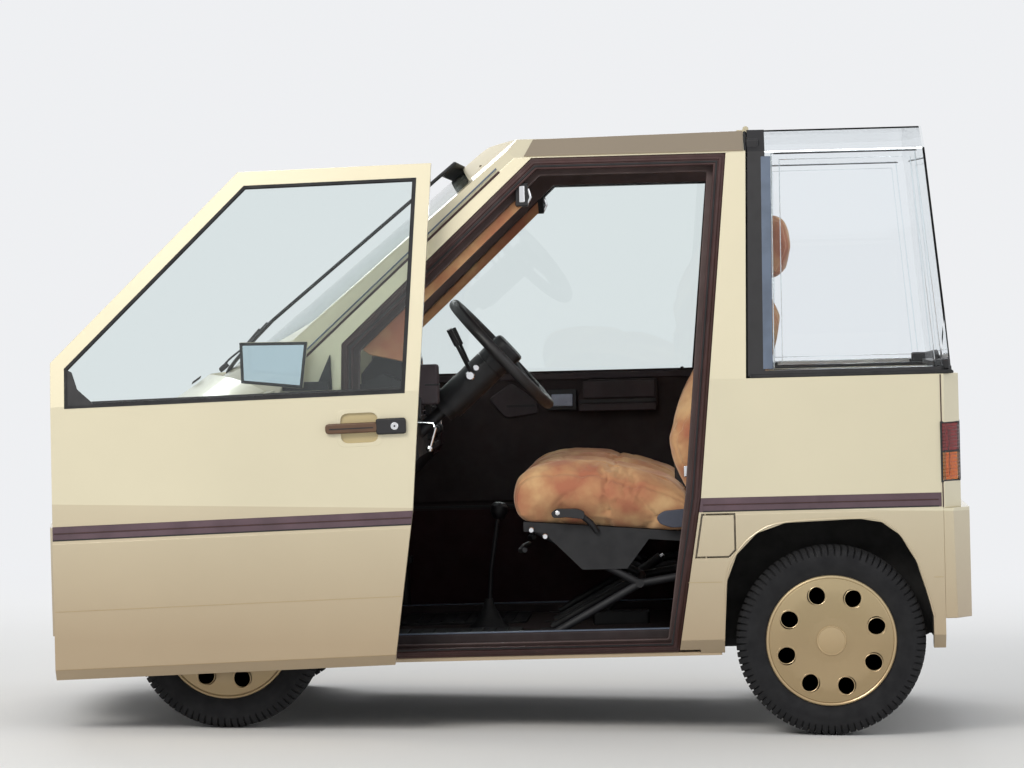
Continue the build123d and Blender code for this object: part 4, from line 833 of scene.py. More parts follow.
def window_outline(t=0.0):
    """The clear part of the door's glass, moved inward by t."""
    _, front, slope_low, slope_top, top, strip = inset(DOOR, WINDOW_FRAME)
    foot = between(top, strip, (top[1] - WINDOW_LOW) / (top[1] - strip[1]))
    low = between(slope_low, front, (slope_low[1] - WINDOW_LOW) / (slope_low[1] - front[1]))
    return inset([foot, low, slope_low, slope_top, top], t)


def build_door(door):
    """Gasket, front corner, handle and lines of a door; the left one stands open."""
    door(side_ring, "door_gasket", window_outline(-3.5), window_outline(4.0), 1.0, 12.0, "rubber")
    door(side_ring, "door_gasket_lip", window_outline(3.0), window_outline(7.0), -3.0, 6.0, "rubber")
    low, slope_low = window_outline(-2.0)[1:3]
    corner = [low, slope_low, (slope_low[0] - 18, slope_low[1] - 10), (low[0] - 34, WINDOW_LOW + 46),
              (low[0] - 84, WINDOW_LOW - 2)]
    door(side_plate, "door_corner", corner, -1.5, 8.0, "black", edge=1.5)
    low_x = between(DOOR[5], DOOR[0], (STRIP_Z[1] - CREASE_Z) / (STRIP_Z[1] - DOOR[0][1]))[0]
    # the crease and skirt lines are painted shade
    door.each(side_bar, (
        ("door_strip_groove", 336, 1276, GROOVE),
        ("door_strip_foot", 338, 1278, STRIP_FOOT),
        ("door_crease", low_x + 3, 1281, CREASE),
        ("door_skirt_line", 394, 1287, SKIRT_LINE)))
    build_handle(door)
    build_lining(door)


def build_handle(door):
    """A bar across a rounded recess, with the black lock block at its rear end."""
    x0, x1, z0, z1 = RECESS
    z = (z0 + z1) / 2
    outer = rounded(rect(x0 - 8, x1 + 8, z0 - 8, z1 + 8), 22)
    inner = rounded(rect(x0 + 2, x1 - 2, z0 + 2, z1 - 2), 22)
    door(side_ring, "door_recess_rim", outer, inner, 0.6, 14.0, "paint", edge=1.0)
    # painted shade: the recess floor is a darker copy of the paint
    door(side_plate, "door_recess_floor", inner, -8.0, 15.5, "recess")
    grip = rounded(rect(x0 + 2, x1 + 38, z - 13, z + 14), 11)
    bar = door(side_plate, "door_grip", grip, 15.0, 0.0, "handle", edge=4.5, segments=3)
    groove = rounded(rect(x0 + 14, x1 + 28, z - 2, z + 1), 1.4)
    door(side_plate, "door_grip_line", groove, 15.6, -14.0, "black")
    lock = rounded(rect(x0 - 72, x0 + 7, z - 20, z + 22), 8)
    block = door(side_plate, "door_lock", lock, 16.0, 0.0, "black", edge=4.5, segments=3)
    for piece in (bar, block):
        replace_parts(piece, "door_handles")
    centre = (x0 - 42, side_y(z) + 16, z + 1)
    key = [(-2, 10), (0.6, 10), (1.4, 8.5), (0.8, 5), (0.8, TIP)]
    door(turned, "door_key", key, centre, OUTWARD, "chrome", 32)
    door(turned, "door_key_slot", [(0.6, 2.6), (1.5, 2.6), (1.5, TIP)], centre, OUTWARD, "black", 16)


def build_lining(door):
    """What the door's lining carries inside: carpet, pocket, pull, speaker and the window's sill."""
    carpet = rounded([(424, 262), (1262, 262), (1250, 560), (380, 560)], 14)
    speaker = rounded([(800, 838), (900, 826), (948, 884), (880, 930), (806, 876)], 14)
    door.each(inside, (
        ("door_carpet", carpet, LINING_DEEP, 4.0, "carpet_red", 2.0),
        ("door_panel_line", rect(372, 1246, 566, 572), LINING_DEEP, 3.0, "black", 1.0),
        ("door_waist", rect(346, 1222, 936, 956), LINING_DEEP, 7.0, "pad_grey", 3.0),
        ("door_speaker", speaker, LINING_DEEP, 10.0, "pad_grey", 4.0),
        ("door_speaker_slot", rounded(rect(812, 896, 858, 866), 3), LINING_DEEP, 11.0, "black", 0.5),
        ("door_lock_rod", rounded(rect(372, 382, 956, 966), 3), LINING_DEEP, 9.0, "black", 2.0)))
    door.each(box, (
        ("door_pocket_lip", 456, 680, 638, 647, 842, 864, "pad_grey", 3.0),
        ("door_pocket_slot", 456, 680, 640.5, 647, 866, 876, "black", 1.0),
        ("door_pocket_top", 458, 668, 641, 647, 880, 930, "pad_grey", 3.0),
        ("door_pull_rim", 688, 774, 668, 677, 846, 908, "black", 3.0),
        ("door_pull", 700, 762, 664, 670, 858, 894, "pull", 3.0)))


def build_doorway(side):
    """The seals round an opening, the inner rings, the sill and what the windscreen post carries."""
    if side is LEFT:
        CAR(side_ring, "doorway_seal", inset(DOOR, -4.6), fitted(26, 21), -2.0, 30.0, "seal", edge=3.0)
        CAR(side_ring, "doorway_lip", inset(DOOR, 3.0), inset(DOOR, 12.0), 1.5, 6.0, "seal", edge=3.0)
        CAR(side_ring, "doorway_bead", inset(DOOR, 15.0), inset(DOOR, 20.0), 0.5, 6.0, "rubber", edge=1.5)
    outer, inner = inset(DOOR, -18), fitted(42, 30)
    ring = side(side_ring, "doorway_frame", outer, inner, -46.0, 72.0, "frame_brown", edge=4.0, segments=3)
    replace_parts(ring, "door_frames")
    low, top = inset(DOOR, 43)[2:4]
    wide_low, wide_top = inset(DOOR, 68)[2:4]
    post = [between(top, low, 0.10), between(top, low, 0.99), between(wide_low, low, 0.1), (1100, 1016),
            between(wide_top, wide_low, 0.70), between(wide_top, wide_low, 0.12)]
    if side is RIGHT:
        del post[3]
    side(inside, "post_cover", post[::-1], 56.0, 9.0, "suede", 3.0, slot="suede")
    side.each(box, (
        ("hook_bracket", 768, 802, 622, 652, 1424, 1488, "black", 4.0),
        ("hook_plate", 776, 792, 650, 656, 1434, 1480, "chrome", 3.0),
        ("sill_cover", 336, 1276, 598, 636, 254, 286, "trim_brown", 5.0),
        ("sill_tread", 392, 1240, 606, 630, 285, 289, "band_grey", 1.5),
        ("sill_rail", 400, 1284, 690, 703, 226, 231, "bronze", 1.5)))
    side(tube, "hook_roller", [(772, 640, 1430), (762, 640, 1448), (768, 640, 1470)], 5.0, "chrome")


def fitted(t, slim):
    """The door's outline moved in by t, but by the slim amount along the floor and up the strip."""
    wide, thin = inset(DOOR, t), inset(DOOR, slim)
    return [thin[0], thin[1], wide[2], wide[3], wide[4], (thin[5][0] + (t - slim) * 0.6, thin[5][1])]


# Canopy

CANOPY_LOW, CANOPY_HIGH = 957.0, 1553.0


def canopy_y(z):
    """Half width of the canopy's side at that level height."""
    return 732 + (652 - 732) * (z - CANOPY_LOW) / (CANOPY_HIGH - CANOPY_LOW)


def on_canopy(points, proud):
    return [(x, canopy_y(z) + proud, z) for x, z in points]


def build_canopy():
    """Bands, edge lines, hinge blocks and the latch of the clear rear lid."""
    band = [(154, 975), (128, 975), (120, 1540), (146, 1540)]
    seal = [(190, 952), (-344, 952), (-344, 962), (190, 962)]
    rail = [(96, 962), (-290, 962), (-290, 972), (96, 972)]
    edge = on_canopy([(125, 973), (118, 1548), (-262, 1548), (-318, 973)], 1.4)
    inner = on_canopy([(103, 985), (97, 1530), (-250, 1530), (-300, 985)], 0.8)
    for side in SIDES:
        lid = Maker(side.ending, side.given["matrix"], "canopy")
        lid(slab, "canopy_band", on_canopy(band, -8), on_canopy(band, 2.4), "band_grey", edge=1.5)
        lid(slab, "canopy_rail", on_canopy(rail, -18), on_canopy(rail, -9), "white", edge=1.5)
        side(slab, "canopy_seal", on_canopy(seal, -20), on_canopy(seal, 7), "rubber", edge=3.0)
        lid.each(tube, (
            ("canopy_line", edge, 2.0, "acrylic_edge", 8, True),
            ("canopy_inner_line", inner, 1.4, "acrylic_edge", 8, True),
            ("canopy_top_line", on_canopy([(112, 1546), (-268, 1546)], 1.5), 1.8, "black", 8)))
        lid.each(box, (
            ("canopy_hinge", 150, 184, 598, 642, 1536, 1588, "black", 6.0),
            ("canopy_foot", -338, -296, 676, 722, 962, 990, "black", 5.0),
            ("belt_clip", 118, 146, 596, 612, 1368, 1424, "white", 5.0)))
    box("canopy_latch", -356, -336, -46, 46, 962, 992, "black", 5.0, body="canopy")
    lock = [(0, 13), (5, 13), (6.5, 11.5), (5.5, 9), (5.5, TIP)]
    turned("canopy_lock", lock, (-360, 0, 925), BACKWARD, "chrome", 32)
    box("tail_seal", -350, -338, -690, 690, 951, 960, "rubber", 3.0)


# Lamps

def build_tail_lamps():
    """Black frames with the red lens over the amber one, round each rear corner."""
    corner = [(-312, 743), (-358, 677), (-362, 600)]

    def shell(front, back, z):
        """The corner's line moved by one step, and back along it moved by another."""
        lines = [[(x + dx, y + dy, z) for x, y in corner] for dx, dy in (front, back)]
        return lines[0] + lines[1][::-1]

    for side in SIDES:
        for name, z0, z1, material in (("red", 748, 820, "lamp_red"), ("amber", 671, 745, "amber")):
            plan = shell((-2, 2), (10, -8), z0)
            lens = side(plate, f"tail_lens_{name}", plan, (0, 0, z1 - z0), material, slot="lamp_red", edge=2.0)
            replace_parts(lens, "tail_lamps")
            for k in range(7):
                z = z0 + 9 + k * (z1 - z0 - 18) / 6
                rib = [(x - 2.6, y + 2.6, z) for x, y in corner]
                side(tube, f"tail_rib_{name}_{k}", rib, 1.1, material, 6, slot="lamp_red")
        side(plate, "tail_backing", shell((11, -9), (34, -30), 669), (0, 0, 152), "reflector")
        for z in (667, 746, 823):
            side(tube, f"tail_frame_{z}", [(-311, 744, z), (-359, 678, z), (-364, 600, z)], 3.0, "black", 8)
        zigzag = [(-330 - 2 * (k % 2), 719 - 6 * (k % 2), 684 + 17 * k) for k in range(8)]
        side.each(tube, (
            ("tail_edge", [(-311, 744, 665), (-311, 743, 825)], 3.0, "black", 8),
            ("tail_end", [(-364, 600, 665), (-364, 600, 825)], 3.0, "black", 8),
            ("tail_zigzag", zigzag, 1.6, "black", 6)))


def nose_x(y, deep=0.0):
    """How far forward the nose reaches at that distance from the middle."""
    return 2090 - max(0.0, abs(y) - 330) * 38 / 282 - deep


def build_headlamps():
    """Clear lens, two bowls with their bulbs, and the amber indicator at the outer end."""
    low, high, inner, outer = 612.0, 684.0, 330.0, 585.0
    bowl = [(-25, 9), (-22, 17), (-16, 24), (-8, 30), (0, 33.5), (0, 35), (-9, 32), (-18, 26), (-26, 17),
            (-27, 9)]
    bulb = [(-25, 7), (-12, 7), (-8, 5), (-6, TIP)]
    shells = (("headlamp_lens", inner + 1, outer - 52, 0, 5, 1, "lamp_clear", "lamp_clear"),
              ("indicator", outer - 49, outer - 1, 0, 7, 1, "amber", "lamp_clear"),
              ("headlamp_back", inner, outer, 34, 40, 0, "black", None))
    for side in SIDES:
        for name, y0, y1, front, back, gap, material, slot in shells:
            corners = ((y0, front), (y1, front), (y1, back), (y0, back))
            plan = [(nose_x(y, deep), y, low + gap) for y, deep in corners]
            up = (0, 0, high - low - 2 * gap)
            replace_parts(side(plate, name, plan, up, material, slot=slot, edge=2.0 * gap), "headlamps")
        for k, y in enumerate((381.0, 468.0)):
            centre = (nose_x(y + 33) - 8, y, (low + high) / 2)
            side(turned, f"headlamp_bowl_{k}", bowl, centre, FORWARD, "mirror", 40)
            side(turned, f"headlamp_bulb_{k}", bulb, centre, FORWARD, "white", 20)
            side(tube, f"headlamp_rim_{k}", ring_points(centre, FORWARD, 34, 36), 1.5, "chrome", 8, True)
        for z in (low - 1, high + 1):
            path = [(nose_x(y, -0.5), y, z) for y in (inner - 2, inner + 80, outer - 60, outer + 2)]
            side(tube, f"headlamp_frame_{z:.0f}", path, 2.4, "black", 8)
        for y in (inner - 2, outer - 50.5, outer + 2):
            x = nose_x(y, -0.5)
            side(tube, f"headlamp_post_{y:.0f}", [(x, y, low - 2), (x, y, high + 2)], 2.4, "black", 8)


# Front and windscreen

SCREEN_NORMAL = (0.633, 0, 0.774)


def build_front():
    """Lines of the bumper, the plain badge disc, washers and wipers."""
    disc = [(-3, 24), (2, 24), (3.4, 22.5), (3.4, 20), (2.6, 19), (3.2, 12), (3.6, TIP)]
    turned("grille_disc", disc, (2091, 0, 648), FORWARD, "chrome", 48)
    groove = [(2110.6, 0, 578), (2110.6, 322, 578), (2072, 618, 578), (2003, 721, 578), (1960, 745, 578)]
    washer = rounded(rect(1704, 1728, 190, 212), 5)
    for side in SIDES:
        side(tube, "bumper_front_line", groove, 2.0, "seal", 8)
        base = [(x, y, hood_z(x) - 1) for x, y in washer]
        side(plate, "washer", base, (-3, 0, 8), "black", body="hood", edge=2.0)
    build_wiper(0, -250.0, -560.0, 6.0)
    build_wiper(1, 250.0, -30.0, 560.0)


def hood_z(x):
    return 748 + (2046 - x) * (990 - 748) / (2046 - 1691)


def foot_x(y):
    """Where the lower edge of the windscreen lies at that distance from the middle."""
    return 1636 - 214 * (y / 700) ** 2


def screen_z(x):
    """Level height of the windscreen's outer face at that place along the car."""
    return 985 + (1650 - x) * 0.8178


def on_screen(y, up, out):
    """A point that far up the windscreen from its lower edge and that far above the glass."""
    x = foot_x(y)
    return (x - 0.774 * up + 0.633 * out, y, screen_z(x) + 0.633 * up + 0.774 * out)


def build_wiper(k, pivot, y0, y1):
    """A wiper from its spindle below the glass to its blade, which spans from y0 to y1."""
    cap = [(0, 15), (9, 15), (13, 12), (14, TIP)]
    turned(f"wiper_cap_{k}", cap, on_screen(pivot, -24, 2), SCREEN_NORMAL, "black", 28)
    end = (y0 + y1) / 2
    arm = [on_screen(pivot, -24, 12), on_screen(pivot + (end - pivot) * 0.3, 4, 15), on_screen(end, 44, 13)]
    tube(f"wiper_arm_{k}", smooth_path(arm, 6), 5.5, "black", 10, flatten=(SCREEN_NORMAL, 0.5))
    level = max(abs(y0), abs(y1))
    sag = [(y, 16 + (foot_x(y) - foot_x(level)) * 0.16) for y in (y0 + (y1 - y0) * j / 10 for j in range(11))]
    tube(f"wiper_blade_{k}", [on_screen(y, up + 10, 5) for y, up in sag], 4.0, "rubber", 8)
    tube(f"wiper_spine_{k}", [on_screen(y, up + 10, 10) for y, up in sag[1:-1]], 3.0, "black", 8)


def build_screen_gasket():
    """The black gasket round the windscreen, and the gutters down its posts."""
    path = [on_screen(y, -6, -3) for y in range(-640, 641, 80)] + [(966, 618, 1541), (966, -618, 1541)]
    tube("screen_gasket", path, 11.0, "rubber", 10, True, flatten=(SCREEN_NORMAL, 0.45))
    low = [(x, y, screen_z(x) - 1) for x, y in ((1004, -606), (1004, 606), (962, 616), (962, -616))]
    plate("screen_band", low, (2, 0, 2.5), "rubber", edge=0.8)
    low, high = Vector((1203, 705, 1188)), Vector((949, 673, 1420))
    ends = [low + (high - low) * t + Vector((0, 1.2, 0)) for t in (-0.9, 1.42)]
    raised = [p + Vector((8, -4, 9)) for p in ends]
    for side in SIDES:
        side(tube, "post_gutter", ends, 3.2, "seal", 8)
        side(tube, "post_bead", raised, 2.2, "band_grey", 8)


# Sides

REAR_HUB, FRONT_HUB = (-8.8, 251.8), (1594.2, 307.8)
SILL_Z = 226
ARCH = [(284, -26), (284, 6), (274, 166), (247, 236), (192, 291), (114, 318), (-82, 324), (-140, 314),
        (-188, 278), (-231, 206), (-259, 115), (-273, 60), (-276, -26)]
FLAP = [(242, 592), (242, 500), (258, 484), (340.6, 484), (323, 592)]


def build_sides():
    """Lips of the wheel arches, lines along the sides with the crease lines in painted shade, and painted shade
    over the roof rails above the doors: plates of darker paint.
    """
    rail = ((192, 1556), (776, 1556), (752, 1602), (192, 1610))
    rail = [(x, 655 - (z - 1553) * 57 / 51 + 0.2, z) for x, z in rail]
    for side in SIDES:
        for name, (hx, hz), wide, high in (("rear", REAR_HUB, 1.0, 1.0), ("front", FRONT_HUB, 1.03, 0.88)):
            outline = [(hx + x * wide, hz + z * high) for x, z in ARCH]
            lip = on_side([p for p in outline if p[1] > SILL_Z], 0.4)
            side(tube, f"arch_lip_{name}", smooth_path(lip, 4), 2.6, "paint", 8)
        side.each(side_bar, (
            ("crease_quarter_a", -308, -284, CREASE),
            ("crease_quarter_b", 277, 366, CREASE),
            ("crease_wing_a", 1294, 1304, CREASE),
            ("crease_wing_b", 1886, 1956, CREASE),
            ("quarter_groove", -300, 322, GROOVE),
            ("quarter_foot", -300, 322, STRIP_FOOT),
            ("wing_groove", 1300, 1975, GROOVE)))
        # painted shade: a thin plate of darker paint over the roof rail's bevel above the door
        side(plate, "rail_cover", rail, (0, 1.4, 1.4), "bronze", slot="paint", edge=0.8)
        side(tube, "corner_seam", [(-312, 745, 600), (-312, 745, 640), (-312, 739, 950)], 1.6, "seal", 8)
    RIGHT(side_plate, "blind_flap", FLAP, 0.0, 5.0, "paint", slot="paint", edge=1.0)
    seam = [(187, -650, 1556), (187, -598, 1606), (187, 0, 1624), (187, 598, 1606), (187, 650, 1556)]
    tube("roof_seam", seam, 4.0, "rubber", 8)


# Cabin

COLUMN = radians(42)


def build_steering():
    """Grip, pad and spokes of the steering wheel, its column shroud, stalks and lock."""
    axis = Vector((cos(COLUMN), 0, -sin(COLUMN)))
    along = Vector((sin(COLUMN), 0, cos(COLUMN)))
    centre = Vector((862, SEAT_Y, 1028))
    kw = {"body": "steering_wheel"}

    def at(u, v, out):
        return centre + Vector((0, 1, 0)) * u + along * v - axis * out

    rim = [at(185 * sin(2 * pi * k / 64), 185 * cos(2 * pi * k / 64), 0) for k in range(64)]
    tube("wheel_grip", rim, 15.0, "leather", 14, True, **kw)
    pad = rounded([(-62, -46), (62, -46), (78, 18), (52, 44), (-52, 44), (-78, 18)], 22)
    low, high = [[at(u, v, out) for u, v in pad] for out in (2, 34)]
    slab("wheel_pad", low, high, "black", edge=9.0, segments=3, **kw)
    for k, (u, v) in enumerate(((-1.0, 0.12), (1.0, 0.12), (-0.42, -0.9), (0.42, -0.9))):
        start, end = at(u * 52, v * 40, 12), at(u * 180, v * 180, 2)
        spoke = [start, start.lerp(end, 0.5) - axis * -4, end]
        tube(f"wheel_spoke_{k}", spoke, 13.0, "black", 12, flatten=(tuple(axis), 0.45), **kw)
    tube("column_shroud", [centre + axis * d for d in (46, 120, 200)], 46.0, "black", 20)
    for name, y0, y1 in (("left", 382, 452), ("right", 308, 238)):
        stalk = [(948, y0, 985), (958, (y0 + y1) / 2, 1010), (992, y1, 1086)]
        tube("stalk_" + name, smooth_path(stalk, 6), 4.5, "black", 10)
        tube("stalk_knob_" + name, [(978, y1 - (y1 - y0) * 0.16, 1056), (998, y1, 1100)], 8.0, "black", 12)
    CAR.each(turned, (
        ("ignition", [(-8, 13), (4, 13), (7, 10), (7, TIP)], (947, 388, 972), OUTWARD, "chrome", 28),
        ("ignition_collar", [(-8, 9), (3, 9), (5, 7), (5, TIP)], (930, 386, 993), OUTWARD, "chrome", 28)))


def build_dash():
    """Instruments, vents, switches and shut lines on the face of the padded board."""
    for k, y in enumerate((270, 345, 420)):
        ring = ring_points((1085, y, 994), BACKWARD, 29 if k != 1 else 22, 36)
        tube(f"dial_{k}", ring, 1.4, "chrome", 8, True)
        tube(f"needle_{k}", [(1084.5, y, 994), (1084.5, y + 14, 1010)], 1.2, "lamp_red", 6, slot="lamp_red")
    for k, y in enumerate((-540, -120, 120, 548)):
        box(f"vent_frame_{k}", 1070, 1090, y - 48, y + 48, 860, 922, "black", 5.0)
        for j in range(4):
            z = 870 + j * 13
            box(f"vent_slat_{k}_{j}", 1064, 1078, y - 42, y + 42, z, z + 3, "pad_grey", 0.8)
    for k, y in enumerate((-76, 76)):
        knob = [(0, 13), (12, 12), (15, 9), (15, TIP)]
        turned(f"radio_knob_{k}", knob, (1066, y, 818), BACKWARD, "black", 28)
    for k in range(5):
        box(f"switch_{k}", 1064, 1074, -88 + 38 * k, -60 + 38 * k, 768, 784, "black", 2.0)
    CAR.each(box, (
        ("cluster_glass", 1086, 1091, 206, 484, 962, 1026, "dial", 2.0),
        ("radio", 1066, 1090, -92, 92, 792, 844, "dial", 3.0),
        ("radio_scale", 1064, 1067, -50, 50, 820, 836, "pull", 1.0),
        ("glovebox_catch", 1068, 1082, -378, -342, 820, 838, "chrome", 3.0),
        ("dash_pod", 1024, 1084, 520, 588, 900, 1008, "pad_grey", 8.0),
        ("dash_pod_line", 1022.5, 1060, 519, 589, 951, 956, "black", 1.0),
        ("dash_edge", 1096, 1112, -598, 598, 950, 962, "pad_grey", 5.0)))
    lid = [(1080 + (760 - z) * 0.6 * (z < 760) - 1.5, y, z) for y, z in rounded(rect(-520, -200, 742, 846), 12)]
    tube("glovebox_line", lid, 2.0, "seal", 6, True)
    lever = [(1080, 592, 852), (1040, 596, 850), (1034, 600, 838), (1049, 600, 788)]
    tube("release_lever", lever, 4.5, "chrome", 10)
    ball = [(-9, TIP), (-7, 7), (0, 9.5), (7, 7), (9, TIP)]
    turned("release_ball", ball, (1051, 600, 783), UPWARD, "chrome", 24)


def build_pedals():
    for name, y, x in (("clutch", 450, 1214), ("brake", 350, 1214), ("throttle", 250, 1226)):
        tube("pedal_arm_" + name, [(1296, y, 560), (1262, y, 470), (x + 8, y, 372)], 6.5, "steel", 10)
        box("pedal_pad_" + name, x - 6, x + 6, y - 32, y + 32, 332, 392, "rubber", 3.0)
        for j in range(4):
            z = 342 + 12 * j
            box(f"pedal_rib_{name}_{j}", x - 9, x - 5, y - 28, y + 28, z, z + 4, "rubber", 1.0)


def build_levers():
    """Gear lever and handbrake on the floor between the seats."""
    boot = [(0, 62), (8, 58), (22, 40), (40, 30), (60, 18), (84, 12)]
    knob = [(-20, 12), (-14, 17), (0, 24), (16, 24), (26, 16), (29, TIP)]
    CAR.each(turned, (
        ("gear_boot", boot, (930, 0, FLOOR_Z), UPWARD, "rubber", 36),
        ("gear_knob", knob, (896, 0, 582), (-0.16, 0, 1), "black", 32),
        ("handbrake_button", [(0, 6), (10, 6), (11, TIP)], (446, 0, 446), (-0.82, 0, 0.57), "chrome", 16)))
    CAR.each(tube, (
        ("gear_stick", [(930, 0, 300), (922, 0, 420), (900, 0, 560)], 6.5, "steel"),
        ("handbrake", [(600, 0, 292), (540, 0, 380), (455, 0, 440)], 8.0, "steel"),
        ("handbrake_grip", [(530, 0, 388), (446, 0, 446)], 14.0, "black", 14)))
    box("handbrake_base", 480, 640, -24, 24, FLOOR_Z - 1, 300, "black", 9.0)


def build_rear_view():
    """The rear-view mirror and the sun visors."""
    case = rounded([(-118, 1440), (118, 1440), (124, 1500), (-124, 1500)], 20)
    plate("mirror_case", [(872, y, z) for y, z in case], (24, 0, 0), "black", edge=6.0, segments=3)
    plate("mirror_face", [(870, y, z) for y, z in inset(case, 8)], (3, 0, 0), "mirror")
    tube("mirror_stem", [(890, 0, 1480), (896, 0, 1503), (899, 0, 1522)], 6.0, "black")
    visor = [(x, y, 1526 - (x - 780) * 0.28) for x, y in rounded(rect(780, 900, 130, 460), 26)]
    for side in SIDES:
        side(plate, "visor", visor, (0, 0, 13), "headliner", edge=5.0, segments=3)


def build_seat_levers(side):
    """Recliner cover, height lever and slide bar of a seat, with their screws."""
    cover = rounded([(300, 560), (405, 554), (440, 566), (449, 584), (430, 600), (350, 606), (300, 604)], 12, 3)
    cover = [(x, 578, z) for x, z in cover]
    side(plate, "recliner_cover", cover, (0, 22, 0), "cover_grey", edge=6.0, segments=3)
    grip = rounded([(640, 583), (690, 590), (724, 588), (731, 602), (716, 613), (660, 612), (640, 604)], 8, 3)
    side(plate, "height_lever", [(x, 580, z) for x, z in grip], (0, 26, 0), "black", edge=5.0, segments=3)
    screw, rivet = [(0, 8), (4, 8), (6, 6), (6, TIP)], [(0, 6), (2, 6), (3, 4), (3, TIP)]
    side.each(turned, (
        ("seat_screw_0", screw, (785, 567, 556), OUTWARD, "chrome", 20),
        ("seat_screw_1", screw, (748, 567, 538), OUTWARD, "chrome", 20),
        ("lever_rivet", rivet, (712, 606, 602), OUTWARD, "chrome", 20)))
    side.each(tube, (
        ("lever_stem", [(652, 588, 596), (624, 580, 572), (608, 566, 548)], 8.0, "black"),
        ("slide_bar", [(806, 180, 500), (820, 240, 496), (820, 450, 496), (806, 510, 500)], 7.0, "steel")))


def build_belt(side):
    """The belt from its reel behind the door post up to the guide, and the buckle beside the seat."""
    strap = [(214, 618, 640), (212, 622, 900), (208, 616, 1200), (206, 606, 1392)]
    half, thin = Vector((23, 0, 0)), Vector((0, -1.6, 0))
    path = smooth_path(strap, 8)
    verts = [q for p in path for q in (p - half, p + half, p + half + thin, p - half + thin)]
    side(mesh_piece, "belt", verts, band_faces(len(path), 4) + end_faces(len(path), 4), "webbing")
    side.each(box, (
        ("belt_guide", 176, 236, 600, 626, 1380, 1410, "black", 6.0),
        ("belt_reel", 180, 246, 600, 648, 560, 650, "black", 8.0),
        ("buckle_stalk", 372, 390, 84, 94, 500, 640, "steel", 3.0),
        ("buckle", 362, 400, 76, 100, 632, 716, "black", 6.0),
        ("belt_anchor", 344, 372, 596, 606, 690, 720, "chrome", 3.0),
        ("anchor_strap", 352, 364, 594, 600, 560, 694, "webbing", 1.5)))
    side(box, "buckle_button", 368, 394, 80, 96, 712, 719, "lamp_red", 2.0, slot="lamp_red")


def build_linings():
    """Carpets, headliner and side linings, so that no bare inner skin shows."""
    mat = [(x, y, 260.5) for x, y in rounded(rect(830, 1190, 110, 560), 30)]
    post = [(204, 958), (286, 958), (234, 1500), (204, 1500)]
    for side in SIDES:
        side(plate, "floor_mat", mat, (0, 0, 6.5), "rubber", edge=2.5)
        for j in range(9):
            x = 870 + 34 * j
            side(tube, f"mat_rib_{j}", [(x, 150, 267), (x, 520, 267)], 3.0, "rubber", 6)
        side(inside, "quarter_lining", rect(-304, 222, 585, 946), 42.5, 4.0, "trim_brown", 1.5)
        side(inside, "post_lining", post, 42.5, 4.0, "trim_brown", 1.5)
    CAR.each(box, (
        ("floor_carpet", 320, 1294, -588, 588, FLOOR_Z - 0.5, 261, "carpet", 2.0),
        ("deck_carpet", -318, 316, -558, 558, 465.5, 471, "carpet", 2.0),
        ("step_carpet", 317, 321, -556, 556, 262, 468, "carpet", 1.0),
        ("tail_lining", -319, -313, -640, 640, 600, 946, "trim_brown", 1.5)))
    liner = [(210, -560), (770, -560), (900, -540), (900, 540), (770, 560), (210, 560)]
    liner = [(x, y, 1568 - max(0, x - 760) * 0.16 - 0.00004 * y * y) for x, y in liner]
    plate("headliner", liner, (0, 0, 5), "headliner", edge=1.5)


def build_underside():
    """Coil springs on the front struts and the brake pipes."""
    turns, steps, radius, low, height = 4, 20, 26.5, 470, 84
    coil = []
    for k in range(turns * steps + 1):
        a = 2 * pi * k / steps
        coil.append((FRONT_HUB[0] + radius * cos(a), 546 + radius * sin(a), low + height * k / (turns * steps)))
    pipe = [(1300, 180, 217), (900, 200, 215), (420, 220, 215), (330, 260, 218)]
    for side in SIDES:
        side(tube, "front_coil", coil, 4.0, "steel", 8)
        side(tube, "brake_pipe", smooth_path(pipe, 6), 3.0, "chrome", 8)


# Outer mirrors

MIRROR = [(1371, 956), (1533, 974), (1535, 1081), (1355, 1079)]
MIRROR_PIVOT = Vector((1317.0, -745.0, 0.0))
MIRROR_ANGLE = radians(-80)


def build_mirrors():
    """The painted shells round the mirrors' backs; the left one is folded flat, the right one stands out."""
    unfolded = (PLACE @ Matrix.Translation(MIRROR_PIVOT) @ Matrix.Rotation(MIRROR_ANGLE, 4, "Z")
                @ Matrix.Translation(-MIRROR_PIVOT) @ Matrix.Scale(-1, 4, (0, 1, 0)))
    low = [(x, 750.5, z) for x, z in inset(MIRROR, 17.0)]
    high = [(x, 793.0, z) for x, z in inset(MIRROR, -2.2)]
    for side in (LEFT, Maker("_right", unfolded)):
        side(slab, "mirror_shell", low, high, "paint", slot="paint", edge=4.0, segments=3)


build_seats()
build_mirrors()
for place in ("rear_left", "rear_right", "front_left", "front_right"):
    build_tyre(place)
    build_cover(place)
for door, side in zip(DOORS, SIDES):
    build_door(door)
    build_doorway(side)
build_canopy()
build_tail_lamps()
build_headlamps()
build_front()
build_screen_gasket()
build_sides()
build_steering()
build_dash()
build_pedals()
build_levers()
build_rear_view()
for side in SIDES:
    build_seat_levers(side)
    build_belt(side)
build_linings()
build_underside()

# Camera, lights and floor

CAMERA_Z = 1.18
AIM_Z, AIM_DISTANCE = 0.924, 12.984
CAMERA_FORWARD, CAMERA_LEFT = 0.3307, 13.7245
CAMERA_TURN, CAMERA_ROLL = radians(2.3), radians(0.5)
FOCAL_PIXELS = 13000 / 2.65
IMAGE_PIXELS = 1024
SENSOR = 36.0
BACKDROP = (0.86, 0.87, 0.89, 1.0)
FLOOR_HALF = 60
FADE_START, FADE_END = 2.2, 7.0


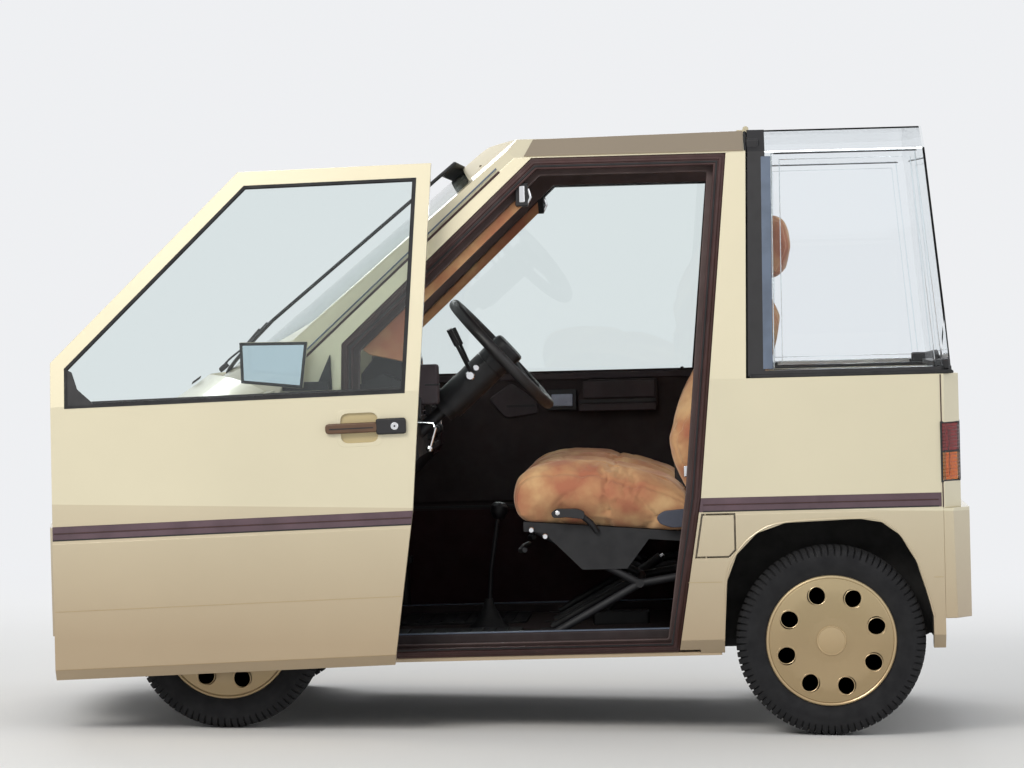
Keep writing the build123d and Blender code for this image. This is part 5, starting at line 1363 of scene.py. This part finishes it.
def place_camera():
    """Looks at the car's left side from the place and with the roll that were fitted to the photo."""
    turn, roll = CAMERA_TURN, CAMERA_ROLL
    tilt = atan2(CAMERA_Z - AIM_Z, AIM_DISTANCE)
    right = Vector((sin(turn), -cos(turn), 0)).cross(Vector((0, 0, 1)))
    look = Vector((sin(turn) * cos(tilt), -cos(turn) * cos(tilt), -sin(tilt)))
    up = right.cross(look)
    rolled_up = up * cos(roll) - right * sin(roll)
    rolled_right = right * cos(roll) + up * sin(roll)
    cam = bpy.data.cameras.new("camera")
    cam.sensor_width = SENSOR
    cam.lens = SENSOR * FOCAL_PIXELS / IMAGE_PIXELS
    cam.clip_end = 200
    obj = bpy.data.objects.new("camera", cam)
    bpy.context.scene.collection.objects.link(obj)
    m = Matrix((rolled_right, rolled_up, -look)).transposed().to_4x4()
    m.translation = (AXLE_X + CAMERA_FORWARD, CENTRE_Y + CAMERA_LEFT, CAMERA_Z)
    obj.matrix_world = m
    bpy.context.scene.camera = obj


def area_light(name, place, target, size, power, colour=(1, 1, 1)):
    light = bpy.data.lights.new(name, "AREA")
    light.shape = "RECTANGLE"
    light.size, light.size_y = size
    light.energy = power
    light.color = colour
    obj = bpy.data.objects.new(name, light)
    bpy.context.scene.collection.objects.link(obj)
    obj.location = place
    obj.rotation_euler = (Vector(target) - Vector(place)).to_track_quat("-Z", "Y").to_euler()


def fade_floor(s):
    """Turns the floor into the backdrop's colour some metres away, for all rays but the diffuse ones."""
    length = s.node("VectorMath")
    length.operation = "LENGTH"
    s.put(length.inputs[0], s.coord)
    reach = s.node("MapRange", Value=length.outputs["Value"], From_Min=FADE_START, From_Max=FADE_END)
    reach.interpolation_type = "SMOOTHSTEP"
    seen = s.math("SUBTRACT", 1.0, s.node("LightPath").outputs["Is Diffuse Ray"])
    share = s.math("MULTIPLY", seen, reach.outputs["Result"])
    out = next(n for n in s.tree.nodes if n.type == "OUTPUT_MATERIAL")
    s.feed(out, Surface=s.mixed(share, s.bsdf, s.node("Emission", Color=BACKDROP)))


def light_world():
    """A plain backdrop for camera, glossy and transmission rays, and an even light for the others."""
    world = bpy.data.worlds.new("studio")
    bpy.context.scene.world = world
    world.use_nodes = True
    world.node_tree.nodes.clear()
    w = Nodes(world.node_tree)
    ray = w.node("LightPath")
    direct = w.math("MAXIMUM", ray.outputs["Is Camera Ray"], ray.outputs["Is Glossy Ray"])
    seen = w.math("MAXIMUM", direct, ray.outputs["Is Transmission Ray"])
    lit = w.node("Background", Color=(0.95, 0.97, 1.0, 1), Strength=0.50)
    w.node("OutputWorld", Surface=w.mixed(seen, lit, w.node("Background", Color=BACKDROP)))


def build_floor():
    s = Shader("floor", (0.80, 0.80, 0.79, 1.0), 0.75)
    s.vary(0.6, 0.98, 1.0)
    fade_floor(s)
    mesh = bpy.data.meshes.new("floor")
    corners = rect(-FLOOR_HALF, FLOOR_HALF, -FLOOR_HALF, FLOOR_HALF)
    mesh.from_pydata([(x, y, 0) for x, y in corners], [], [(0, 1, 2, 3)])
    mesh.materials.append(s.mat)
    floor = bpy.data.objects.new("floor", mesh)
    bpy.context.scene.collection.objects.link(floor)


place_camera()
light_world()
area_light("key", (3.0, 7.5, 5.5), (0, 0, 0.6), (4.0, 3.0), 395, (1.0, 0.97, 0.92))
area_light("fill", (-6.0, 3.0, 3.0), (0, 0, 0.7), (4.0, 3.0), 60)
area_light("rim", (1.0, -7.0, 4.5), (0, 0, 0.8), (6.0, 2.0), 200)
build_floor()
bpy.context.scene.view_settings.view_transform = "Standard"
